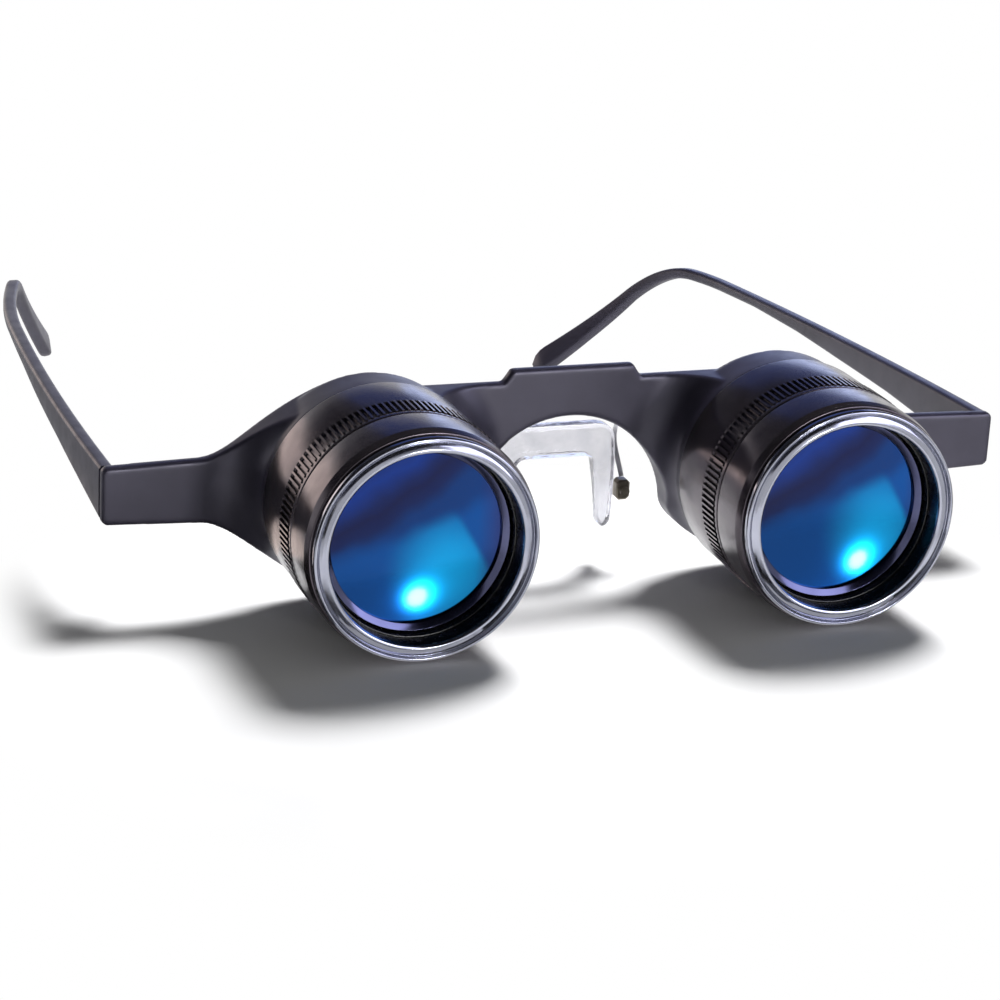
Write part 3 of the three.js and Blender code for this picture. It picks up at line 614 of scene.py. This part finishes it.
def build_telescope(side):
    objective = f"objective_{side}"
    rim = turned(f"front_rim_ring_{side}", side, FRONT_RIM, RIM_METAL, FINE_EASE)
    stand_for(paint_inside(rim, side, **RIM_PAINT), objective, f"front_rim_{side}")
    barrel = turned(f"front_barrel_{side}", side, OBJECTIVE_BARREL, BARREL_METAL)
    stand_for(paint_inside(barrel, side, **BARREL_PAINT), objective, f"objective_barrel_{side}")
    stand_for(turned(f"lens_seat_ring_{side}", side, LENS_RING, RING_METAL, FINE_EASE),
              objective, f"lens_ring_{side}")
    glass = turned(f"objective_glass_{side}", side, lens_section(**FRONT_LENS), COATED, 0)
    map_lens_face(glass, side)
    stand_for(glass, objective, f"objective_lens_{side}")
    stand_for(focus_sleeve(side), f"focus_sleeve_{side}_body", f"focus_sleeve_{side}")
    stand_for(turned(f"eyepiece_mount_{side}", side, EYEPIECE_CELL, ABS),
              "frame", f"eyepiece_cell_{side}")
    eye = turned(f"eyepiece_glass_{side}", side, lens_section(**EYE_LENS), CLEAR_GLASS, 0)
    stand_for(eye, "frame", f"eyepiece_lens_{side}")


# Front frame: plate, bosses and flares, joined and remeshed for moulded edges

PLATE_FRONT = 30.5
PLATE_EDGE = 0.45
# The bosses: where they start, and their radii there and at the foot, where the flare begins
BOSS_START = 24.1
BOSS_EDGE = 16.6
BOSS_BACK = 16.25
BOSS_EASE = 0.2
FLARE = 6.4
FLARE_STEPS = 12
# Radii of the bore that takes the focus sleeve, and of the plate's round lug behind it
SLEEVE_BORE = 14.6
LUG = 15.7
# How far shapes run into each other before they are joined or cut
OVERLAP = 1
# The flares are trimmed to the plate's outline by a prism whose own edges are sharp
PRISM_EDGE = 0.01
FRAME_VOXEL = 0.3
FRAME_PASSES = 4


def arc(cx, cz, radius, start, end, steps):
    """The points of an arc from one angle to another, with both its ends."""
    return [(cx + radius * math.cos(start + (end - start) * i / steps),
             cz + radius * math.sin(start + (end - start) * i / steps)) for i in range(steps + 1)]


def bezier(a, b, c, d, steps):
    """The points between a and d on a curve that has its handles at b and c."""
    points = []
    for i in range(1, steps):
        t = i / steps
        points.append(tuple(a[k] * (1 - t) ** 3 + 3 * b[k] * t * (1 - t) ** 2
                            + 3 * c[k] * t * t * (1 - t) + d[k] * t ** 3 for k in (0, 1)))
    return points


def mirrored(half):
    """A closed outline from its half, which starts and ends on the middle line."""
    return half + [(-x, z) for x, z in reversed(half[1:-1])]


def half_outline():
    """The plate's outline on the wearer's left, from the middle of the top round to the arch."""
    # The lug's round runs to the arm at its shoulders and to the nose arch at its flank. pull
    # is how strongly the arm's curve keeps the shoulder's direction.
    shoulder, flank = math.radians(70), math.radians(-126)
    sx, sz = AXIS_X + LUG * math.cos(shoulder), LUG * math.sin(shoulder)
    pull = 11
    px, pz = sx + pull * math.sin(shoulder), sz - pull * math.cos(shoulder)
    # The bridge with the low block at its middle
    block_top, block_end, bridge_start, bridge_top = 15.3, 9.5, 10.8, 13.4
    meet = math.pi - math.asin(bridge_top / LUG)
    # The arm out to the end piece, whose corners are cut
    arm, arm_top, arm_foot = 56.3, 4.5, -5.15
    cut, end_top, end_foot = 0.6, 4.1, -4.55
    # The nose arch
    arch, arch_top, low = 15.4, 7.7, math.radians(4)
    arch_end = (arch * math.cos(low), arch_top - arch + arch * math.sin(low))
    foot = (AXIS_X + LUG * math.cos(flank), LUG * math.sin(flank))
    curve = [(0, block_top), (block_end, block_top), (bridge_start, bridge_top)]
    curve += arc(AXIS_X, 0, LUG, meet, shoulder, 24)
    curve += bezier((sx, sz), (px, pz), (51.5, 4.7), (arm, arm_top), 24)
    curve += [(arm, arm_top), (END_X - cut, end_top), (END_X, end_top - cut),
              (END_X, end_foot + cut), (END_X - cut, end_foot), (arm, arm_foot)]
    curve += bezier((arm, arm_foot), (51.5, -5.35), (px, -pz), (sx, -sz), 24)
    curve += arc(AXIS_X, 0, LUG, -shoulder, flank, 24)
    curve += bezier(foot, (18.4, -11), (16, -8.8), arch_end, 12)
    curve += arc(0, arch_top - arch, arch, low, math.pi / 2, 30)
    return curve


def plate_mesh(edge, front, back):
    """The plate between two stations, with its edges rounded."""
    outline = mirrored(half_outline())
    curve = bpy.data.curves.new("outline", "CURVE")
    curve.dimensions = "2D"
    curve.fill_mode = "BOTH"
    spline = curve.splines.new("POLY")
    spline.points.add(len(outline) - 1)
    for point, (x, z) in zip(spline.points, outline):
        point.co = (x * MM, z * MM, 0, 1)
    spline.use_cyclic_u = True
    curve.extrude = ((back - front) / 2 - edge) * MM
    curve.bevel_depth = edge * MM
    curve.bevel_resolution = 2
    curve.offset = -edge * MM
    obj = bpy.data.objects.new("outline", curve)
    scene.collection.objects.link(obj)
    mesh = mesh_left_by(obj)
    for vertex in mesh.vertices:
        x, z, y = vertex.co
        vertex.co = at(x / MM, (front + back) / 2 - y / MM, z / MM)
    bm = bmesh.new()
    bm.from_mesh(mesh)
    bmesh.ops.remove_doubles(bm, verts=bm.verts, dist=WELD * MM)
    bmesh.ops.recalc_face_normals(bm, faces=bm.faces)
    bm.to_mesh(mesh)
    bm.free()
    return mesh


def combine(obj, other, operation):
    """The first object joined to, cut by or limited to the other, which goes."""
    modifier = obj.modifiers.new("combine", "BOOLEAN")
    modifier.operation = operation
    modifier.solver = "EXACT"
    modifier.object = other
    result = settled(obj)
    bpy.data.objects.remove(other)
    return result


def front_frame():
    """The plate with a flared boss behind each telescope, bored for its focus sleeve."""
    body = link("moulded_front_frame", plate_mesh(PLATE_EDGE, PLATE_FRONT, PLATE_BACK), ABS)
    inside, core = PLATE_FRONT + PLATE_EDGE, SLEEVE_BORE - OVERLAP
    bore_start, bore_end = BOSS_START - 2 * OVERLAP, PLATE_BACK + 2 * OVERLAP
    turns = [t * math.pi / 2 / FLARE_STEPS for t in range(FLARE_STEPS + 1)]
    fillet = [(BOSS_BACK + FLARE * (1 - math.cos(t)), BOSS_START + FLARE * math.sin(t))
              for t in turns]
    for side in SIDES:
        flare = turned("flare", side, fillet + [(BOSS_BACK + FLARE, inside), (core, inside),
                                                (core, BOSS_START)], ABS, 0)
        prism = plate_mesh(PRISM_EDGE, BOSS_START - OVERLAP, PLATE_BACK - PLATE_EDGE)
        kept = combine(flare, link("prism", prism, ABS), "INTERSECT")
        body = combine(body, kept, "UNION")
        boss = turned("boss", side, [(BOSS_EDGE, BOSS_START), (BOSS_BACK, inside),
                                     (core, inside), (core, BOSS_START)], ABS, BOSS_EASE)
        body = combine(body, boss, "UNION")
        bore = turned("bore", side, [(0, bore_start), (SLEEVE_BORE, bore_start),
                                     (SLEEVE_BORE, bore_end), (0, bore_end)], ABS, 0)
        body = combine(body, bore, "DIFFERENCE")
    return remoulded(body, FRAME_VOXEL, FRAME_PASSES)


# Temples: the CAD's own bends, with a rounder section

TEMPLE_TOP = 3.8
TEMPLE_THICKNESS = 2.2
TEMPLE_HEIGHT = 8
TEMPLE_FRONT_GAP = 0.3
TEMPLE_BENDS = {
    "left": {"slope": math.radians(2.3), "straight": 99, "radius": 16.5,
             "angle": math.radians(54.2), "hook": 19, "bow": 875, "inward_start": 89.4,
             "inward_radius": 51.5},
    "right": {"slope": math.radians(2.2), "straight": 112, "radius": 8.5,
              "angle": math.radians(39.6), "hook": 23, "bow": 1040, "inward_start": 81.2,
              "inward_radius": 185},
}
# The arm leans with its slope once it is this far from the hinge
LEAN_START = 5
# Heights along the arm: (share of its length, share of its full height)
HEIGHT_SHARES = [(0, 1), (0.11, 0.79), (0.22, 0.61), (0.35, 0.46), (0.46, 0.32), (0.58, 0.23),
                 (0.7, 0.23), (0.78, 0.24), (0.86, 0.3), (0.93, 0.44), (1, 0.62)]
# The rounded tip: its length, and the shares of thickness and height left at its very end
TIP_ROUND = 2.6
TIP_THICKNESS = 0.4
TIP_HEIGHT = 0.3
# The section's corner radius, and the most of its half height or thickness that it may take
CORNER = 0.7
CORNER_SHARE = 0.8
RINGS = 150
AROUND = 24


def temple_height(share):
    for (a, low), (b, high) in zip(HEIGHT_SHARES, HEIGHT_SHARES[1:]):
        if share <= b:
            return TEMPLE_HEIGHT * (low + (high - low) * (share - a) / (b - a))
    return TEMPLE_HEIGHT * HEIGHT_SHARES[-1][1]


def temple_guide(bend, distance):
    """Place, lean and inward turn of the outer top edge at a distance along it."""
    length = bend["radius"] * bend["angle"]
    along = min(distance, bend["straight"])
    slope = bend["slope"] + min(max((distance - bend["straight"]) / length, 0), 1) * bend["angle"]
    rest = max(0, distance - bend["straight"] - length)
    y = (along * math.cos(bend["slope"]) + rest * math.cos(slope)
         + bend["radius"] * (math.sin(slope) - math.sin(bend["slope"])))
    z = (-along * math.sin(bend["slope"]) - rest * math.sin(slope)
         - bend["radius"] * (math.cos(bend["slope"]) - math.cos(slope)))
    past = max(0, distance - bend["inward_start"])
    inward = distance ** 2 / (2 * bend["bow"]) + past ** 2 / (2 * bend["inward_radius"])
    turn = math.atan(distance / bend["bow"] + past / bend["inward_radius"])
    lean = slope * min(1, distance / LEAN_START)
    return END_X - inward, PLATE_BACK + TEMPLE_FRONT_GAP + y, TEMPLE_TOP + z, lean, turn


def temple_ring(bm, side, distance, total):
    """The points round the arm's rounded section at a distance along it."""
    x, y, z, lean, turn = temple_guide(TEMPLE_BENDS[side], distance)
    height = temple_height(distance / total)
    left = total - distance
    close = math.sqrt(1 - (1 - left / TIP_ROUND) ** 2) if left < TIP_ROUND else 1
    half_t = TEMPLE_THICKNESS / 2 * (TIP_THICKNESS + (1 - TIP_THICKNESS) * close)
    half_h = height / 2 * max(close, TIP_HEIGHT)
    corner = min(CORNER, half_t * CORNER_SHARE, half_h * CORNER_SHARE)
    ring = []
    for k in range(AROUND):
        angle = 2 * math.pi * (k + 0.5) / AROUND
        across = math.copysign(half_t - corner, math.cos(angle)) + corner * math.cos(angle)
        up = math.copysign(half_h - corner, math.sin(angle)) + corner * math.sin(angle)
        across -= TEMPLE_THICKNESS / 2
        up -= height / 2
        ring.append(bm.verts.new(at(
            SIDES[side] * (x + across * math.cos(turn)),
            y + across * math.sin(turn) * math.cos(lean) + up * math.sin(lean),
            z - across * math.sin(turn) * math.sin(lean) + up * math.cos(lean))))
    return ring


def temple(side):
    """A side arm with its ear hook, as one skin from the hinge to the tip."""
    bend = TEMPLE_BENDS[side]
    total = bend["straight"] + bend["radius"] * bend["angle"] + bend["hook"]
    bm = bmesh.new()
    rings = [temple_ring(bm, side, total * i / RINGS, total) for i in range(RINGS + 1)]
    for near, far in zip(rings, rings[1:]):
        for k in range(AROUND):
            n = (k + 1) % AROUND
            bm.faces.new((near[k], near[n], far[n], far[k]))
    bm.faces.new(rings[0])
    bm.faces.new(rings[-1])
    bmesh.ops.recalc_face_normals(bm, faces=bm.faces)
    mesh = mesh_from(bm, f"temple_arm_{side}")
    soften(mesh)
    return link(f"temple_arm_{side}", mesh, ABS)


# Nose saddle: a soft arch, rounded all over

SADDLE = {"half": 9.4, "leg": 3.2, "top": 4.6, "rise": 5.2, "bottom": -13, "splay": 1.4,
          "depth": 3, "front": 35.2, "rake": 2.4}
SADDLE_EDGE = 0.55
SADDLE_VOXEL = 0.25
SADDLE_PASSES = 6
# The legs grow thinner below the bar, which takes the first share of the saddle's height
LEG_START = 0.32
LEG_TAPER = 0.42


def saddle_outline():
    half, leg, top = SADDLE["half"], SADDLE["leg"], SADDLE["top"]
    foot = half + SADDLE["splay"] - leg / 2
    inner, under = half - leg, top - SADDLE["rise"]
    # How far the handles of the shoulder's and the crotch's curves stay off the corners
    outer_pull, inner_pull = 1.1, 0.5
    right = [(0, top), (inner, top)]
    right += bezier((inner, top), (half - outer_pull, top), (half, top - outer_pull),
                    (half, top - leg), 10)
    right += [(half, top - leg)]
    right += arc(foot, SADDLE["bottom"] + leg / 2, leg / 2, 0, -math.pi, 14)
    right += [(inner, under - leg / 2)]
    right += bezier((inner, under - leg / 2), (inner, under - inner_pull),
                    (inner - inner_pull, under), (inner - leg / 2, under), 8)
    right += [(inner - leg / 2, under), (0, under)]
    return mirrored(right)


def shape_saddle(mesh):
    """Rakes the saddle back and makes its legs thinner as they go down."""
    s = SADDLE
    top, length = at(0, 0, s["top"]).z, (s["top"] - s["bottom"]) * MM
    for vertex in mesh.vertices:
        share = (top - vertex.co.z) / length
        vertex.co.y += s["rake"] * MM * share * share
        leg = max(0, (share - LEG_START) / (1 - LEG_START))
        middle = math.copysign(s["half"] - s["leg"] / 2 + s["splay"] * share, vertex.co.x) * MM
        vertex.co.x += (middle - vertex.co.x) * LEG_TAPER * leg


def nose_saddle():
    outline = saddle_outline()
    bm = bmesh.new()
    front, back = [[bm.verts.new(at(x, y, z)) for x, z in outline]
                   for y in (SADDLE["front"], SADDLE["front"] + SADDLE["depth"])]
    for k in range(len(outline)):
        n = (k + 1) % len(outline)
        bm.faces.new((front[k], front[n], back[n], back[k]))
    bm.faces.new(front)
    bm.faces.new(back)
    bmesh.ops.recalc_face_normals(bm, faces=bm.faces)
    saddle = link("clear_nose_saddle", mesh_from(bm, "clear_nose_saddle"), SILICONE)
    bevel = saddle.modifiers.new("round", "BEVEL")
    bevel.width = SADDLE_EDGE * MM
    bevel.segments = 2
    bevel.limit_method = "ANGLE"
    bevel.angle_limit = math.radians(60)
    saddle = remoulded(saddle, SADDLE_VOXEL, SADDLE_PASSES)
    shape_saddle(saddle.data)
    return saddle


# Small CAD pieces keep their solids, and get smooth faces and a finish

def smooth_tree():
    """Welds a CAD solid's loose triangles and shades it smooth, with its creases kept."""
    tree, given = new_tree("smooth_solid", {"Crease": "NodeSocketFloat"})
    welded = add(tree, "GeometryNodeMergeByDistance", {"Distance": WELD * MM},
                 Geometry=given["Geometry"])
    angle = add(tree, "GeometryNodeInputMeshEdgeAngle")
    sharp = add(tree, "FunctionNodeCompare", {"data_type": "FLOAT", "operation": "GREATER_THAN"},
                i0=angle.outputs["Unsigned Angle"], i1=given["Crease"])
    smooth = add(tree, "GeometryNodeSetShadeSmooth", {"domain": "FACE"},
                 Geometry=welded.outputs[0])
    creased = add(tree, "GeometryNodeStoreNamedAttribute",
                  {"data_type": "BOOLEAN", "domain": "EDGE", "Name": "sharp_edge"},
                  Geometry=smooth.outputs[0], Value=sharp.outputs["Result"])
    add(tree, "NodeGroupOutput", Geometry=creased.outputs[0])
    return tree


SMOOTH_TREE = smooth_tree()
KEPT = {"barrel_tube": ENAMEL, "sleeve_stop_ring": ENAMEL, "eyepiece_ring": ENAMEL,
        "focus_pin": STEEL, "hinge_bracket": STEEL, "hinge_leaf": STEEL, "hinge_screw": STEEL,
        "nose_arm": WIRE, "nose_clasp": STEEL, "nose_screw": STEEL}


def finish_kept_pieces():
    """Gives the CAD's own small pieces their materials and smooth shading."""
    for side in SIDES:
        for name, material in KEPT.items():
            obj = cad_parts[f"{name}_{side}"]
            for slot in obj.material_slots:
                slot.material = material
            modifier = obj.modifiers.new("smooth", "NODES")
            modifier.node_group = SMOOTH_TREE
            set_input(modifier, "Crease", EDGE_ANGLE)


# Floor, light, world and cards

# The paper fades to plain white between two distances from a place between the telescopes
FADE_MIDDLE = (-8, 5, 0)
FADE_START = 72
FADE_END = 92
# The floor is tilted about a line across it, at y FLOOR_TURN and height FLOOR_DROP. Its front
# edge lies FLOOR_FRONT from that line.
FLOOR_SIZE = 600
FLOOR_FRONT = -150
FLOOR_DROP = -17.45
FLOOR_TILT = math.radians(-2.7)
FLOOR_TURN = 10
# The strength at which the white world lights the object
WORLD_FILL = 0.12


def seen_white(tree):
    """1 where the camera looks, also by way of metal or glass, and 0 for light on the object."""
    path = add(tree, "ShaderNodeLightPath")
    seen = add(tree, "ShaderNodeMath", {"operation": "MAXIMUM"},
               i0=path.outputs["Is Camera Ray"], i1=path.outputs["Is Glossy Ray"])
    clear = add(tree, "ShaderNodeMath", {"operation": "MAXIMUM"},
                i0=seen.outputs[0], i1=path.outputs["Is Transmission Ray"])
    return clear.outputs[0]


def paper():
    # Matt white paper, pressed smooth: it keeps the object's shadow and fades to plain white.
    material, tree = new_material("pale_paper_floor")
    place = object_place(tree)
    reach = add(tree, "ShaderNodeVectorMath", {"operation": "DISTANCE", "i1": at(*FADE_MIDDLE)},
                i0=place)
    fade = add(tree, "ShaderNodeMapRange",
               {"From Min": FADE_START * MM, "From Max": FADE_END * MM,
                "interpolation_type": "SMOOTHSTEP"},
               Value=reach.outputs["Value"])
    amount = add(tree, "ShaderNodeMath", {"operation": "MULTIPLY"},
                 i0=fade.outputs["Result"], i1=seen_white(tree))
    sheet = add(tree, "ShaderNodeBsdfDiffuse", {"Roughness": 0.5},
                Color=mottled(tree, place, "#f4f4f5", "#fafafa", 40))
    white = add(tree, "ShaderNodeEmission", {"Color": (1, 1, 1, 1), "Strength": 1.0})
    mix = add(tree, "ShaderNodeMixShader", i0=amount.outputs[0], i1=sheet.outputs[0],
              i2=white.outputs[0])
    finish_material(tree, mix)
    return material


def add_floor():
    bm = bmesh.new()
    bmesh.ops.create_grid(bm, x_segments=1, y_segments=1, size=FLOOR_SIZE / 2 * MM)
    ahead = Matrix.Translation((0, (FLOOR_FRONT + FLOOR_SIZE / 2) * MM, 0))
    tilt = Matrix.Rotation(FLOOR_TILT, 4, "X")
    drop = Matrix.Translation(at(0, FLOOR_TURN, FLOOR_DROP))
    bmesh.ops.transform(bm, verts=bm.verts, matrix=drop @ tilt @ ahead)
    link("paper_floor", mesh_from(bm, "paper_floor"), paper())


def add_soft_light(name, place, aim, size, power, colour="#ffffff"):
    data = bpy.data.lights.new(name, "AREA")
    data.shape = "RECTANGLE"
    data.size, data.size_y = size[0] * MM, size[1] * MM
    data.energy = power
    data.color = linear(colour)[:3]
    lamp = bpy.data.objects.new(name, data)
    scene.collection.objects.link(lamp)
    start, end = at(*place), at(*aim)
    turn = (start - end).to_track_quat("Z", "Y").to_matrix().to_4x4()
    lamp.matrix_world = Matrix.Translation(start) @ turn
    return lamp


def add_world():
    world = bpy.data.worlds.new("studio")
    scene.world = world
    world.use_nodes = True
    tree = world.node_tree
    tree.nodes.clear()
    strength = add(tree, "ShaderNodeMapRange", {"To Min": WORLD_FILL, "To Max": 1.0},
                   Value=seen_white(tree))
    sky = add(tree, "ShaderNodeBackground", {"Color": (1, 1, 1, 1)},
              Strength=strength.outputs["Result"])
    add(tree, "ShaderNodeOutputWorld", Surface=sky.outputs[0])


def add_card(name, corners, shader_of):
    """A studio card that only reflections see: dark ones deepen the black finishes, and light
    ones draw the bright lines on them."""
    material, tree = new_material(name)
    finish_material(tree, shader_of(tree))
    bm = bmesh.new()
    rings = [[bm.verts.new(point) for point in line] for line in corners]
    for near, far in zip(rings, rings[1:]):
        for k in range(len(near) - 1):
            bm.faces.new((near[k], near[k + 1], far[k + 1], far[k]))
    card = link(name, mesh_from(bm, name), material)
    card.visible_camera = False
    card.visible_diffuse = False
    card.visible_shadow = False
    card.visible_transmission = False


# The canopy: its radius, the elevations of its edge and top in degrees, and the heights
# between which its cloth turns from navy to black
CANOPY_RADIUS = 700
CANOPY_EDGE = 15
CANOPY_TOP = 88
CANOPY_STEPS = 24
NAVY_END = 150
BLACK_START = 600
# How far the mats lie over the floor
MAT_RISE = 0.05
WARM = "#ffece2"


def canopy_cloth(tree):
    # Navy felt at the rim, black above
    place = object_place(tree)
    height = add(tree, "ShaderNodeSeparateXYZ", Vector=place).outputs["Z"]
    cloth = toned(tree, height, NAVY_END * MM, BLACK_START * MM,
                  [(0, "#1d2140"), (0.4, "#0e0f18"), (1, "#08080c")])
    return add(tree, "ShaderNodeEmission", {"Strength": 1.0}, Color=cloth)


def glow(colour, strength):
    """A card's finish: it shines in reflections with one even colour."""
    return lambda tree: add(tree, "ShaderNodeEmission",
                            {"Color": linear(colour), "Strength": strength})


def mat(*lines):
    """The corners of a card that lies on the floor: (left x, right x, y) for each line."""
    def corner(x, y):
        return at(x, y, FLOOR_DROP + MAT_RISE + (y - FLOOR_TURN) * math.tan(FLOOR_TILT))
    return [[corner(left, y), corner(right, y)] for left, right, y in lines]


def sky_patch(radius, azimuths, elevations, steps=6):
    """The corners of a card that stands round the object, seen at these angles from it."""
    points = []
    for i in range(steps + 1):
        rise = math.radians(elevations[0] + (elevations[1] - elevations[0]) * i / steps)
        line = []
        for k in range(steps + 1):
            side = math.radians(azimuths[0] + (azimuths[1] - azimuths[0]) * k / steps)
            line.append(at(radius * math.cos(rise) * math.sin(side),
                           radius * math.cos(rise) * math.cos(side), radius * math.sin(rise)))
        points.append(line)
    return points


def add_cards():
    black, white = glow("#050507", 1.0), glow("#ffffff", 0.9)
    cards = {
        "dark_canopy": (sky_patch(CANOPY_RADIUS, (0, 360), (CANOPY_EDGE, CANOPY_TOP),
                                  CANOPY_STEPS), canopy_cloth),
        "left_card": ([[at(-125, y, z) for y in (-90, 40)] for z in (-16, 90)], black),
        "left_mat": (mat((-220, -52, -4), (-220, -52, 44)), black),
        "far_right_mat": (mat((93, 200, -4), (93, 200, 25)), black),
        "rim_mat_right": (mat((-4, 24, -12), (-20, 16, -5), (-20, 0, 2)), black),
        "rim_mat_left": (mat((44, 66, -5), (44, 66, 2)), black),
        "rim_strip_right": (mat((-48, -22, -6), (-48, -22, 3)), white),
        "rim_strip_left": (mat((16, 42, -4), (16, 42, 3)), white),
        "temple_mat": (mat((-260, -74, 46), (-260, -74, 260)), glow("#e8e8f0", 0.5)),
        "warm_mat": (mat((-73, -44, 46), (-73, -44, 110)), glow(WARM, 1.6)),
        "ring_card": (sky_patch(420, (110, 158), (12, 40)), glow("#dcdcf0", 7.0)),
        "warm_card": (sky_patch(420, (-36, -16), (-2, 13)), glow(WARM, 2.4)),
        "blue_card": (sky_patch(600, (-2, 44), (15, 33)), glow("#3a5cb4", 0.8)),
    }
    for name, (corners, finish) in cards.items():
        add_card(name, corners, finish)


def add_lamps():
    key = add_soft_light("key_softbox", place=(265, 350, 595), aim=(-10, 15, -10),
                         size=(220, 220), power=11.0)
    key.visible_glossy = False
    add_soft_light("cool_softbox", place=(219, 444, 80), aim=(0, 10, 5),
                   size=(150, 110), power=0.085, colour="#86a6f0")
    # Far off and round, so that its whole disc shows as a small spot in each front lens
    front = add_soft_light("front_softbox", place=(545, -1927, 130), aim=(0, 0, 0),
                           size=(230, 230), power=12.9)
    front.data.shape = "DISK"


scene.view_settings.view_transform = "Standard"
add_camera()
for telescope_side in SIDES:
    build_telescope(telescope_side)
    stand_for(temple(telescope_side), f"temple_{telescope_side}_arm", f"temple_{telescope_side}")
stand_for(front_frame(), "frame", "front_frame")
stand_for(nose_saddle(), "frame", "nose_saddle")
finish_kept_pieces()
add_floor()
add_world()
add_lamps()
add_cards()
